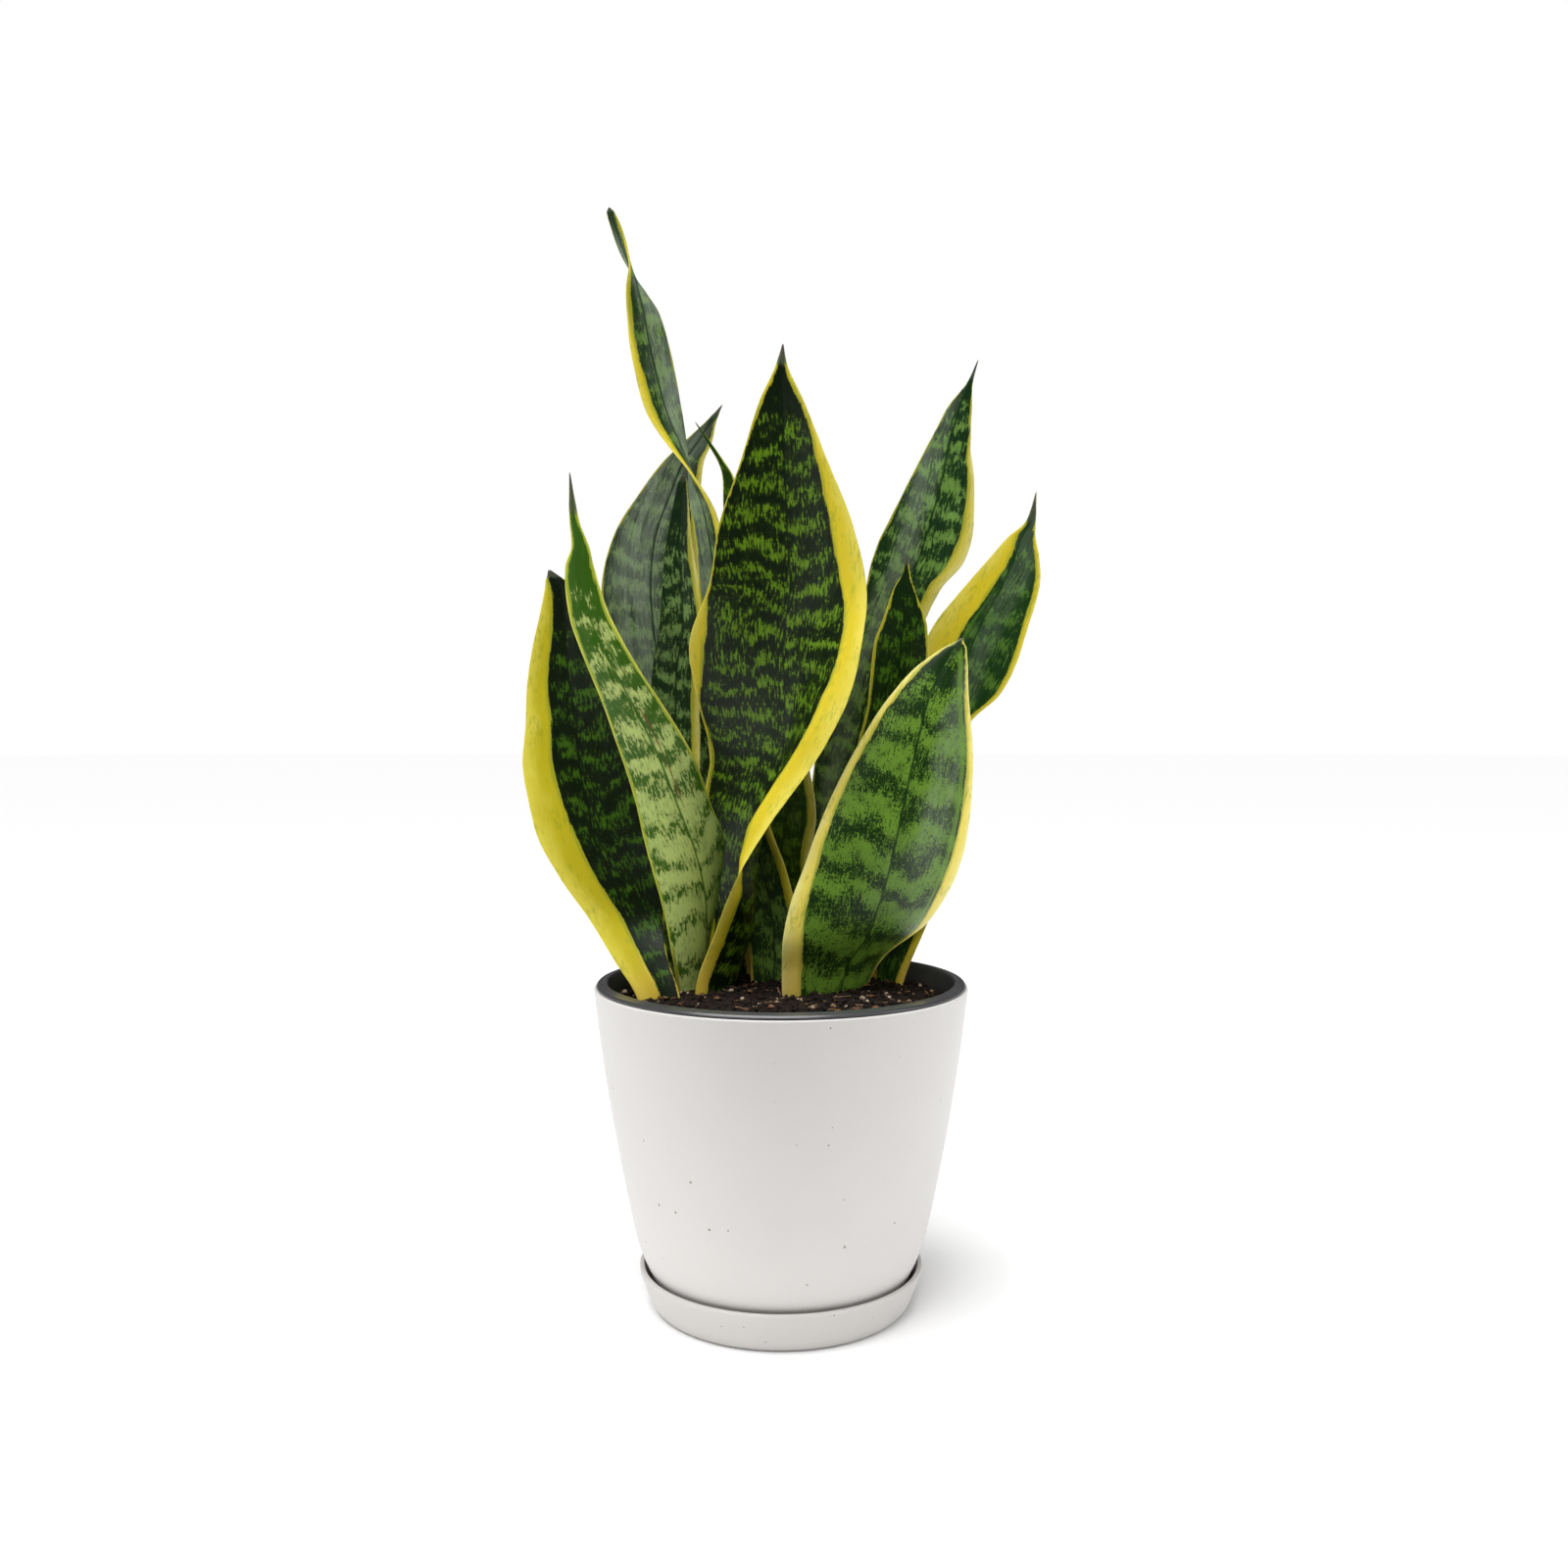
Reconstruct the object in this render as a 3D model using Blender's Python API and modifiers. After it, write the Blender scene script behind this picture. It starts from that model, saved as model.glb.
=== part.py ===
"""Snake plant in a speckled white pot with a grey liner, on a saucer.

Origin: middle of the saucer's foot. +Z is up, -Y is the side the broad middle leaf faces.
"""
import bpy
import bmesh
import numpy as np
from math import atan2, cos, pi, radians, sin
from mathutils import Matrix, Vector

MM = 0.001
GAP = 0.3 * MM                    # clearance between pieces that touch

# saucer
SAUCER_HEIGHT = 17.2 * MM
SAUCER_SPACE = 1.5 * MM           # air between the pot and the saucer's rim
SAUCER_FLARE = 7.0 * MM           # how much wider the rim is than the foot, in radius
SAUCER_WALL = 2.0 * MM
SAUCER_FLOOR = 2.6 * MM
SAUCER_CORNER = 5.0 * MM          # run of the curve from the floor into the wall
SAUCER_RIB_COUNT = 8
SAUCER_RIB_HEIGHT = 6.0 * MM
SAUCER_RIB_THICKNESS = 1.6 * MM
SAUCER_RIB_DROP = 0.6             # share of its height that a rib falls towards the pot
SAUCER_RIB_TURN = 0.35            # how far round from +X the first rib is, in rib spacings

# white outer pot
POT_RIM_RADIUS = 79.8 * MM
POT_HEIGHT = 133.2 * MM           # from the saucer's floor to the rim
POT_TAPER = 16.8 * MM             # rim radius less the radius at the shoulder
POT_SHOULDER_HEIGHT = 31.0 * MM   # where the wall begins to round in to the foot
POT_FOOT_CURL = 14.0 * MM         # radius at the shoulder less the radius of the foot
POT_WALL = 3.4 * MM
POT_FLOOR = 3.0 * MM
POT_BULGE = 1.5 * MM              # how far the wall stands proud of a straight cone
POT_ROUNDING = 0.8 * MM           # rounding of the rim and foot edges
POT_WALL_STEPS = 8
POT_HOLE_RADIUS = 5.0 * MM
POT_HOLE_RING = 24.0 * MM
POT_HOLE_COUNT = 4

# grey liner
LINER_WALL = 1.2 * MM
LINER_SPACE = 1.4 * MM            # air between the liner and the outer pot
LINER_FLOOR_RISE = 4.0 * MM
LINER_FLANGE_THICKNESS = 1.9 * MM
LINER_FLANGE_SETBACK = 1.0 * MM   # white edge left showing outside the flange
LINER_ROUNDING = 0.5 * MM         # rounding of the flange's edges
LINER_HOLE_RADIUS = 4.0 * MM
LINER_HOLE_RING = 30.0 * MM
LINER_HOLE_COUNT = 6
LINER_WALL_STEPS = 6
HOLE_SIDES = 20
HOLE_OVERRUN = 1.0 * MM           # how far a hole's cutter runs past both faces of the floor

# soil and rhizomes
SOIL_DROP = 8.0 * MM              # flange top down to the soil at the wall
SOIL_MOUND = 1.5 * MM
RHIZOME_RADIUS = 6.5 * MM
RHIZOME_OVERHANG = 4.0 * MM       # how far a rhizome runs past its outer leaves
RHIZOME_SETBACK = 3.0 * MM        # how far it lies nearer the pot's middle than its leaves
ROOTING_DEPTH = 18.0 * MM         # how deep the leaf bases reach

# leaves
LEAF_THICKNESS = 3.0 * MM         # middle of a leaf at its base
LEAF_TIP_SHARE = 0.35             # thickness left at the tip, as a share of the base
LEAF_SIDES = 12
LEAF_STEPS_PER_ROW = 2
LAYOUT_RADIUS = 72.87 * MM        # the soil radius that the rows below are laid out for

ROUND_STEPS = 48                  # steps round the pot, saucer, liner and soil

# Each row of a leaf: x, y and height over the soil of its midrib, blade width measured round the
# curve, the way the blade faces (degrees, 0 faces -Y, negative turns it towards -X), and how far it
# is bent into a channel (degrees of arc, negative where the bulge faces forward). Lengths in mm.
LEAVES = {
    "leaf_broad_middle": [
        (-22, 21, -18, 42, -90, 190), (-22, 21, 0, 46, -90, 200), (-14, 24, 26, 61, -80, 170),
        (-13, 22, 52, 66, -68, 130), (-8, 16, 77, 69, -56, 105), (1, 12, 103, 72, -44, 88),
        (2, 7, 128, 80, -30, 75), (1, 2, 152, 82, -20, 65), (4, -2, 176, 70, -12, 58),
        (2.5, -5, 201, 58, -8, 52), (1.5, -8, 226, 38, -5, 48), (0.3, -10, 250, 20, 0, 45),
        (0.2, -11, 266, 5, 0, 30), (0.8, -11, 275, 1.4, 0, 10)],
    "leaf_outer_left": [
        (-52, -4, -18, 16, 0, 70), (-52, -4, 0, 19, 0, 60), (-60.8, 1, 17, 24, 12, 50),
        (-68, 8, 34, 34, 18, 45), (-73.5, 8, 50, 45, 16, 40), (-80.5, 6, 67, 49, 14, 38),
        (-84, 6, 83, 50, 12, 36), (-87.5, 6, 100, 48, 8, 34), (-88.5, 6, 116, 43, 4, 34),
        (-91, 6, 133, 37, 0, 34), (-92.5, 5, 149, 29, 0, 34), (-93, 3.5, 166, 20, 0, 30),
        (-95, 2.5, 176, 12, 0, 20), (-99, 2, 183, 3.5, 0, 10)],
    "leaf_pale_left": [
        (-35, 22, -18, 28, 90, -140), (-36, 21, 0, 32, 88, -140), (-34, 16, 21, 38, 70, -120),
        (-34, 12, 42, 42, 52, -95), (-38, 7, 63, 42, 35, -70), (-45, 2, 83, 35, 22, -50),
        (-52, -4, 103, 32, 12, -40), (-61, -11, 123, 26, 6, -35), (-71, -18, 143, 21, 3, -35),
        (-79, -21, 162, 17, 0, -30), (-82.5, -23, 181, 12, 0, -25), (-82, -24, 189, 7.5, 0, -20),
        (-84.4, -24, 200, 4, 0, -20), (-86, -25, 219, 1.2, 0, -10)],
    "leaf_broad_back_left": [
        (-25, 54, -18, 22, 0, 50), (-25, 54, 0, 26, 0, 45), (-31, 51, 30, 31, 0, 42),
        (-38, 48, 60, 37, 0, 40), (-47, 43, 100, 43, 0, 38), (-55, 38, 140, 46, 0, 36),
        (-58.5, 35, 170, 45, 0, 34), (-58.5, 34, 187, 43, 0, 34), (-56, 33, 204, 37, 0, 32),
        (-50, 32, 220, 28, 0, 30), (-44, 31, 234, 19, 0, 26), (-37, 31, 244, 12.5, 0, 22),
        (-31, 30, 253, 4.5, 0, 16), (-26.3, 30, 260, 1.2, 0, 8)],
    "leaf_stub_back_left": [
        (-46, 40, -18, 16, 25, 60), (-46, 40, 0, 18, 25, 60), (-48, 37, 30, 22, 15, 55),
        (-49, 32, 70, 24, 8, 50), (-47.5, 29, 110, 23, 4, 50), (-46.5, 25, 140, 22, 0, 50),
        (-43.5, 20.5, 160, 21, 0, 50), (-44, 19.5, 178, 17, 0, 50), (-44.8, 18.5, 196, 12, 0, 50),
        (-44, 17, 210, 8, 0, 50), (-43.3, 16.5, 220, 5, 0, 50), (-42.8, 16, 226, 3, 0, 30)],
    "leaf_twisted_tall": [
        (-3, 33, -18, 20, 0, 60), (-3, 33, 0, 22, 0, 60), (-4, 35, 24, 25, 0, 50),
        (-8.5, 37, 50, 22, 0, 30), (-16, 36, 74, 21, 0, 25), (-20, 32, 95, 22, 0, 25),
        (-23, 25, 120, 21, 0, 30), (-26, 17.5, 150, 17, -4, 35), (-28.5, 12, 180, 15, -10, 35),
        (-30.5, 9, 195, 13, -20, 35), (-33, 7, 209, 14, -40, 35), (-38, 5, 223, 16, -82, 35),
        (-44, 4, 237, 17, -122, 35), (-49.5, 3, 251, 18, -150, 35), (-53, 2, 265, 17.5, -168, 35),
        (-56, 1, 279, 17, -176, 35), (-58.4, 0, 292, 14, -170, 32), (-61, -1, 301, 10, -140, 30),
        (-63.3, -2, 309, 7.5, -88, 30), (-66.3, -3.5, 317, 6, -45, 25), (-69, -4.5, 325, 5, -20, 20),
        (-71.3, -5, 331, 3.6, -10, 15), (-72, -5, 333.4, 1.8, -10, 10)],
    "leaf_slender_back": [
        (3, 53, -18, 18, 0, 60), (3, 53, 0, 22, 0, 60), (2, 50, 30, 26, 0, 50),
        (0, 46, 55, 27, 0, 45), (2, 44, 75, 29, 0, 40), (-1, 41, 99, 28, 0, 38),
        (-5, 37, 120, 25, 0, 36), (-9.5, 33, 145, 21, 0, 34), (-15, 28, 170, 16, 0, 32),
        (-19, 24, 195, 11, 0, 30), (-21.5, 21, 214, 8, 0, 25), (-23.3, 20, 226, 5, 0, 20),
        (-26, 19, 232, 3, 0, 15), (-31.8, 18.5, 241, 1.8, 0, 10), (-37.5, 18, 249.5, 1, 0, 5)],
    "leaf_front_right": [
        (23, 12, -18, 48, 43, -60), (25, 9, 0, 56, 43, -60), (28.5, 6, 13, 62, 38, -58),
        (37, 0, 27, 76, 30, -55), (42, -4, 42, 77, 22, -52), (46, -6, 56, 74, 16, -50),
        (49, -8, 70, 70, 12, -48), (52, -8, 84, 64, 8, -46), (55, -8, 98, 57, 5, -44),
        (58.3, -7, 112, 48, 3, -40), (62, -5, 126, 37, 0, -36), (68, -2, 140, 24, 0, -30),
        (73, 0, 148, 13, 0, -20), (77.6, 2, 154, 2.5, 0, -10)],
    "leaf_back_right": [
        (31, 47, -18, 19, -25, 55), (31, 47, 0, 22, -25, 50), (30, 48, 30, 26, -20, 48),
        (30, 48, 70, 34, -8, 42), (35, 46, 110, 36, -4, 42), (42, 42, 140, 33, 0, 40),
        (49, 40, 160, 30, 0, 38), (55.5, 38.5, 179, 35, 0, 38), (61, 38, 189, 42, 0, 36),
        (65, 37.5, 200, 42.5, 0, 34), (68, 37, 210, 38.5, 0, 32), (70.7, 37, 220, 33.5, 0, 30),
        (73, 36, 230, 28, 0, 28), (75, 36, 240, 21.5, 0, 26), (77.8, 35, 251, 15.5, 0, 24),
        (80.7, 35, 261, 10.5, 0, 20), (84.9, 34, 271, 2.6, 0, 12), (88.5, 34, 281, 1, 0, 5)],
    "leaf_far_right": [
        (49, 38, -18, 18, -35, 50), (49, 38, 0, 20, -35, 50), (55, 36, 33, 29, -15, 45),
        (60, 35, 70, 34, -5, 42), (62, 34.5, 98, 35, 0, 40), (66.5, 33.5, 118, 38, 0, 38),
        (76, 32.5, 130, 44, 0, 36), (82, 31.5, 143, 46, 0, 36), (89.5, 30, 162, 43, 0, 34),
        (96, 29.5, 174, 37, 0, 32), (100.2, 29.5, 182, 31.5, 0, 30), (104.3, 29, 192, 22, 0, 26),
        (107.5, 29, 201, 12.5, 0, 22), (111.5, 28.5, 208, 4.5, 0, 15), (113.8, 28, 221, 1, 0, 5)],
    "leaf_small_right": [
        (22, 28, -18, 17, 20, 60), (22, 28, 0, 20, 20, 60), (32, 26, 35, 23, 12, 55),
        (40, 22, 70, 25, 6, 52), (46, 18.5, 107, 26, 0, 50), (50, 17, 123, 26, 0, 48),
        (51.5, 15, 138, 26, 0, 46), (52.3, 14, 153, 24, 0, 44), (53.4, 13, 161, 20, 0, 40),
        (53.5, 12, 168, 15, 0, 34), (53.3, 11, 176, 9, 0, 28), (54.4, 11, 183, 3.2, 0, 16),
        (54.7, 10, 191, 1, 0, 5)],
}

# Each rhizome runs under the leaves it carries.
RHIZOMES = {
    "rhizome_left": ["leaf_outer_left", "leaf_pale_left", "leaf_broad_middle", "leaf_twisted_tall"],
    "rhizome_back": ["leaf_stub_back_left", "leaf_broad_back_left", "leaf_slender_back"],
    "rhizome_right": ["leaf_front_right", "leaf_small_right", "leaf_back_right", "leaf_far_right"],
}

FINISHES = {
    "saucer": ((0.66, 0.65, 0.63), 0.35),
    "outer_pot": ((0.74, 0.73, 0.71), 0.40),
    "inner_pot": ((0.16, 0.17, 0.18), 0.30),
    "soil": ((0.030, 0.018, 0.012), 0.95),
    "rhizome": ((0.42, 0.26, 0.10), 0.70),
    "leaf": ((0.045, 0.120, 0.035), 0.35),
}

# Levels and radii that follow from the sizes above.
pot_base = SAUCER_FLOOR + GAP
pot_rim = pot_base + POT_HEIGHT
shoulder_radius = POT_RIM_RADIUS - POT_TAPER
flange_base = pot_rim + GAP
flange_top = flange_base + LINER_FLANGE_THICKNESS
liner_inset = POT_WALL + LINER_SPACE
liner_base = pot_base + POT_FLOOR + LINER_FLOOR_RISE
soil_inset = liner_inset + LINER_WALL + GAP
soil_base = liner_base + LINER_WALL + GAP
soil_top = flange_top - SOIL_DROP
rhizome_height = soil_top - ROOTING_DEPTH - GAP - RHIZOME_RADIUS


def material(name):
    colour, roughness = FINISHES[name]
    mat = bpy.data.materials.new(name)
    mat.use_nodes = True
    shader = mat.node_tree.nodes["Principled BSDF"]
    shader.inputs["Base Color"].default_value = (*colour, 1.0)
    shader.inputs["Roughness"].default_value = roughness
    shader.inputs["Metallic"].default_value = 0.0
    return mat


def add_object(name, mesh, collection, mat=None):
    obj = bpy.data.objects.new(name, mesh)
    collection.objects.link(obj)
    if mat:
        mesh.materials.append(mat)
    return obj


def add_cutter(target, cutter, operation="DIFFERENCE"):
    cutter.hide_render = True
    cutter.display_type = "WIRE"
    cut = target.modifiers.new("cut_" + cutter.name, "BOOLEAN")
    cut.operation = operation
    cut.object = cutter


def turned(name, outline, collection, mat=None):
    """Spin an outline of (radius, height) points, given from the top middle round the outside."""
    bm = bmesh.new()
    verts = [bm.verts.new((radius, 0.0, height)) for radius, height in outline]
    for first, second in zip(verts, verts[1:]):
        bm.edges.new((first, second))
    mesh = bpy.data.meshes.new(name)
    bm.to_mesh(mesh)
    bm.free()
    obj = add_object(name, mesh, collection, mat)
    screw = obj.modifiers.new("turn", "SCREW")
    screw.steps = ROUND_STEPS
    screw.render_steps = ROUND_STEPS
    screw.use_merge_vertices = True
    screw.merge_threshold = 0.00001
    return obj


def pegs(name, count, radius, ring, low, high, collection):
    """Upright round pegs on a ring, which cut drainage holes right through a floor."""
    low, high = low - HOLE_OVERRUN, high + HOLE_OVERRUN
    bm = bmesh.new()
    for index in range(count):
        turn = 2 * pi * index / count
        peg = bmesh.ops.create_cone(bm, cap_ends=True, segments=HOLE_SIDES, radius1=radius,
                                    radius2=radius, depth=high - low)
        place = Vector((ring * cos(turn), ring * sin(turn), (low + high) / 2))
        bmesh.ops.translate(bm, verts=peg["verts"], vec=place)
    mesh = bpy.data.meshes.new(name)
    bm.to_mesh(mesh)
    bm.free()
    return add_object(name, mesh, collection)


def wall_radius(level, inset=0.0):
    """Outside radius of the white pot at a level over the ground, less an inset."""
    height = level - pot_base
    if height >= POT_SHOULDER_HEIGHT:
        rise = (height - POT_SHOULDER_HEIGHT) / (POT_HEIGHT - POT_SHOULDER_HEIGHT)
        return shoulder_radius + POT_TAPER * rise + 4 * POT_BULGE * rise * (1 - rise) - inset
    curl = (POT_SHOULDER_HEIGHT - height) / POT_SHOULDER_HEIGHT
    return shoulder_radius - POT_FOOT_CURL * (curl + curl ** 2) / 2 - inset


soil_radius = wall_radius(soil_top, soil_inset)


def wall_points(low, high, count, inset=0.0):
    """Points up the wall from one level to another, closer together towards the foot."""
    levels = [low + (high - low) * (step / count) ** 1.5 for step in range(count + 1)]
    return [(wall_radius(level, inset), level) for level in levels]


def build_saucer(collection, mat):
    rim = wall_radius(SAUCER_HEIGHT) + SAUCER_SPACE + SAUCER_WALL
    foot = rim - SAUCER_FLARE
    corner = SAUCER_CORNER
    lip = SAUCER_WALL / 2
    inside = [(0.0, SAUCER_FLOOR), (foot - corner, SAUCER_FLOOR),
              (foot - 0.4 * corner, SAUCER_FLOOR + 0.32 * corner)]
    edge = [(rim - SAUCER_WALL, SAUCER_HEIGHT - lip),
            (rim - 0.7 * SAUCER_WALL, SAUCER_HEIGHT - 0.15 * lip),
            (rim - 0.3 * SAUCER_WALL, SAUCER_HEIGHT), (rim, SAUCER_HEIGHT - 0.6 * lip)]
    outside = [(foot + 0.84 * corner, 1.2 * corner), (foot + 0.44 * corner, 0.4 * corner),
               (foot + 0.12 * corner, 0.08 * corner), (foot - 0.2 * corner, 0.0), (0.0, 0.0)]
    return turned("saucer", inside + edge + outside, collection, mat), foot


def build_saucer_ribs(foot, cutters):
    """Wedges in the saucer's gutter that centre the pot."""
    bm = bmesh.new()
    inner = wall_radius(SAUCER_FLOOR + SAUCER_RIB_HEIGHT) + GAP
    outer = foot + 0.2 * SAUCER_CORNER
    low = SAUCER_FLOOR / 2
    high = SAUCER_FLOOR + SAUCER_RIB_HEIGHT
    for index in range(SAUCER_RIB_COUNT):
        cube = bmesh.ops.create_cube(bm, size=1.0)["verts"]
        bmesh.ops.scale(bm, verts=cube, vec=(outer - inner, SAUCER_RIB_THICKNESS, high - low))
        middle = Vector(((inner + outer) / 2, 0.0, (low + high) / 2))
        bmesh.ops.translate(bm, verts=cube, vec=middle)
        sloped = [v for v in cube if v.co.z > middle.z and v.co.x < middle.x]
        bmesh.ops.translate(bm, verts=sloped, vec=(0.0, 0.0, SAUCER_RIB_DROP * (low - high)))
        turn = 2 * pi * (index + SAUCER_RIB_TURN) / SAUCER_RIB_COUNT
        bmesh.ops.rotate(bm, verts=cube, cent=(0, 0, 0), matrix=Matrix.Rotation(turn, 3, "Z"))
    mesh = bpy.data.meshes.new("saucer_ribs")
    bm.to_mesh(mesh)
    bm.free()
    return add_object("saucer_ribs", mesh, cutters)


def build_outer_pot(collection, mat):
    inside_base = pot_base + POT_FLOOR
    rounded = pot_rim - POT_ROUNDING
    outline = [(0.0, inside_base)]
    outline += wall_points(inside_base, rounded, POT_WALL_STEPS, POT_WALL)
    outline += [(POT_RIM_RADIUS - POT_WALL + POT_ROUNDING, pot_rim)]
    outline += [(POT_RIM_RADIUS - POT_ROUNDING, pot_rim)]
    outline += reversed(wall_points(pot_base + POT_ROUNDING, rounded, POT_WALL_STEPS))
    outline += [(wall_radius(pot_base) - POT_ROUNDING, pot_base), (0.0, pot_base)]
    return turned("outer_pot", outline, collection, mat)


def build_inner_pot(collection, mat):
    """The liner: a thin tapered bucket whose flat flange rests on the white rim."""
    outer = POT_RIM_RADIUS - LINER_FLANGE_SETBACK
    inner = wall_radius(flange_base, liner_inset + LINER_WALL)
    edge = LINER_ROUNDING
    inside_base = liner_base + LINER_WALL
    outline = [(0.0, inside_base)]
    outline += wall_points(inside_base, flange_base, LINER_WALL_STEPS, liner_inset + LINER_WALL)
    outline += [(inner + 0.4 * edge, flange_top - edge), (inner + 1.6 * edge, flange_top)]
    outline += [(outer - 3.2 * edge, flange_top), (outer - 0.8 * edge, flange_top - edge)]
    outline += [(outer, flange_base + 0.6 * edge), (outer - 0.6 * edge, flange_base)]
    outline += reversed(wall_points(liner_base, flange_base, LINER_WALL_STEPS, liner_inset))
    outline += [(0.0, liner_base)]
    return turned("inner_pot", outline, collection, mat)


def build_soil(collection, mat):
    outline = [(0.0, soil_top + SOIL_MOUND)]
    for share in (0.3, 0.55, 0.75, 0.9):
        outline.append((soil_radius * share, soil_top + SOIL_MOUND * (1 - share ** 2)))
    outline += reversed(wall_points(soil_base, soil_top, LINER_WALL_STEPS, soil_inset))
    outline += [(0.0, soil_base)]
    return turned("soil", outline, collection, mat)


def blade_row(rows, place):
    """The row at a place along the leaf, counted in rows, on a smooth curve through them all."""
    first = min(int(place), len(rows) - 2)
    share = place - first
    near, far = rows[first], rows[first + 1]
    before, after = rows[max(first - 1, 0)], rows[min(first + 2, len(rows) - 1)]
    reach = np.linalg.norm((far - near)[:3])
    leave = (far - before) * reach / (reach + np.linalg.norm((near - before)[:3]))
    arrive = (after - near) * reach / (reach + np.linalg.norm((after - far)[:3]))
    square, cube = share ** 2, share ** 3
    return (near * (2 * cube - 3 * square + 1) + leave * (cube - 2 * square + share)
            + far * (3 * square - 2 * cube) + arrive * (cube - square))


def blade_point(rows, place, across, behind, grow):
    """A point on a leaf's skin: across runs -1 to 1 edge to edge, behind -1 to 1 front to back."""
    x, y, z, width, facing, bend, thickness = blade_row(rows, place)
    side = Vector((cos(radians(facing)), sin(radians(facing)), 0.0))
    front = Vector((side.y, -side.x, 0.0))
    arc = radians(bend) if abs(bend) > 1 else radians(1)
    radius = width / arc
    angle = across * (arc / 2 + grow / radius)
    skin = Vector((x, y, z)) + side * radius * sin(angle) + front * radius * (1 - cos(angle))
    return skin + (side * sin(angle) - front * cos(angle)) * behind * (thickness / 2 + grow)


def laid_out(name):
    """A leaf's rows in metres with a thickness added, sized across to suit the soil it grows in."""
    rows = np.array(LEAVES[name], dtype=float)
    rows[:, :4] *= MM
    rows[:, [0, 1, 3]] *= soil_radius / LAYOUT_RADIUS
    share = (rows[:, 2] - rows[0, 2]) / (rows[-1, 2] - rows[0, 2])
    thickness = LEAF_THICKNESS * (1 - (1 - LEAF_TIP_SHARE) * share)
    rows[:, 2] += soil_top
    rows[0, 2] = soil_top - ROOTING_DEPTH
    return np.column_stack((rows, thickness))


def build_blade(name, rows, collection, mat=None, grow=0.0):
    """Loft a closed leaf: a capped tube whose rings are mapped onto the blade's sections."""
    spans = (len(rows) - 1) * LEAF_STEPS_PER_ROW
    bm = bmesh.new()
    bmesh.ops.create_cone(bm, cap_ends=True, segments=LEAF_SIDES, radius1=1, radius2=1, depth=1)
    upright = [e for e in bm.edges if abs(e.verts[0].co.z - e.verts[1].co.z) > 0.5]
    bmesh.ops.subdivide_edges(bm, edges=upright, cuts=spans - 1, use_grid_fill=True)
    for vert in bm.verts:
        turn = atan2(vert.co.y, vert.co.x)
        place = min(max(vert.co.z + 0.5, 0.0), 1.0) * (len(rows) - 1)
        vert.co = blade_point(rows, place, cos(turn), sin(turn), grow)
    mesh = bpy.data.meshes.new(name)
    bm.to_mesh(mesh)
    bm.free()
    mesh.shade_smooth()
    return add_object(name, mesh, collection, mat)


def build_leaf(name, soil, collection, cutters, mat):
    rows = laid_out(name)
    build_blade(name, rows, collection, mat)
    buried = rows[:4].copy()
    buried[0, 2] -= GAP
    add_cutter(soil, build_blade("pocket_" + name, buried, cutters, grow=GAP))


def tube(name, points, radius, collection, mat=None):
    """A round rod with closed ends through the points, as a mesh."""
    curve = bpy.data.curves.new(name, "CURVE")
    curve.dimensions = "3D"
    curve.bevel_depth = radius
    curve.bevel_resolution = 2
    curve.resolution_u = 4
    curve.use_fill_caps = True
    spline = curve.splines.new("BEZIER")
    spline.bezier_points.add(len(points) - 1)
    for knot, point in zip(spline.bezier_points, points):
        knot.co = point
        knot.handle_left_type = knot.handle_right_type = "AUTO"
    guide = bpy.data.objects.new(name + "_line", curve)
    collection.objects.link(guide)
    mesh = bpy.data.meshes.new_from_object(guide.evaluated_get(bpy.context.evaluated_depsgraph_get()))
    bpy.data.objects.remove(guide)
    bm = bmesh.new()
    bm.from_mesh(mesh)
    bmesh.ops.remove_doubles(bm, verts=bm.verts, dist=0.00001)
    bmesh.ops.recalc_face_normals(bm, faces=bm.faces)
    bm.to_mesh(mesh)
    bm.free()
    mesh.materials.clear()
    return add_object(name, mesh, collection, mat)


def build_rhizome(name, carried, soil, collection, cutters, mat):
    points = []
    for leaf in carried:
        x, y = laid_out(leaf)[0, :2]
        under = Vector((x, y, 0.0))
        under -= under.normalized() * RHIZOME_SETBACK
        points.append(Vector((under.x, under.y, rhizome_height)))
    start, end = points[0] - points[1], points[-1] - points[-2]
    points[0] += start.normalized() * RHIZOME_OVERHANG
    points[-1] += end.normalized() * RHIZOME_OVERHANG
    tube(name, points, RHIZOME_RADIUS, collection, mat)
    points[0] += start.normalized() * GAP
    points[-1] += end.normalized() * GAP
    add_cutter(soil, tube("pocket_" + name, points, RHIZOME_RADIUS + GAP, cutters))


def build():
    for obj in list(bpy.data.objects):
        bpy.data.objects.remove(obj)
    plant = bpy.data.collections.new("potted_snake_plant")
    cutters = bpy.data.collections.new("cutters")
    bpy.context.scene.collection.children.link(plant)
    bpy.context.scene.collection.children.link(cutters)
    finish = {name: material(name) for name in FINISHES}

    saucer, saucer_foot = build_saucer(plant, finish["saucer"])
    add_cutter(saucer, build_saucer_ribs(saucer_foot, cutters), "UNION")
    outer_pot = build_outer_pot(plant, finish["outer_pot"])
    add_cutter(outer_pot, pegs("pot_holes", POT_HOLE_COUNT, POT_HOLE_RADIUS, POT_HOLE_RING,
                               pot_base, pot_base + POT_FLOOR, cutters))
    inner_pot = build_inner_pot(plant, finish["inner_pot"])
    add_cutter(inner_pot, pegs("liner_holes", LINER_HOLE_COUNT, LINER_HOLE_RADIUS, LINER_HOLE_RING,
                               liner_base, liner_base + LINER_WALL, cutters))
    soil = build_soil(plant, finish["soil"])
    for name in LEAVES:
        build_leaf(name, soil, plant, cutters, finish["leaf"])
    for name, carried in RHIZOMES.items():
        build_rhizome(name, carried, soil, plant, cutters, finish["rhizome"])


build()
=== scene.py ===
import random
from math import atan2, cos, pi, radians, sin

import bmesh
import bpy
import numpy as np
from mathutils import Matrix, Vector, noise


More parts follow.
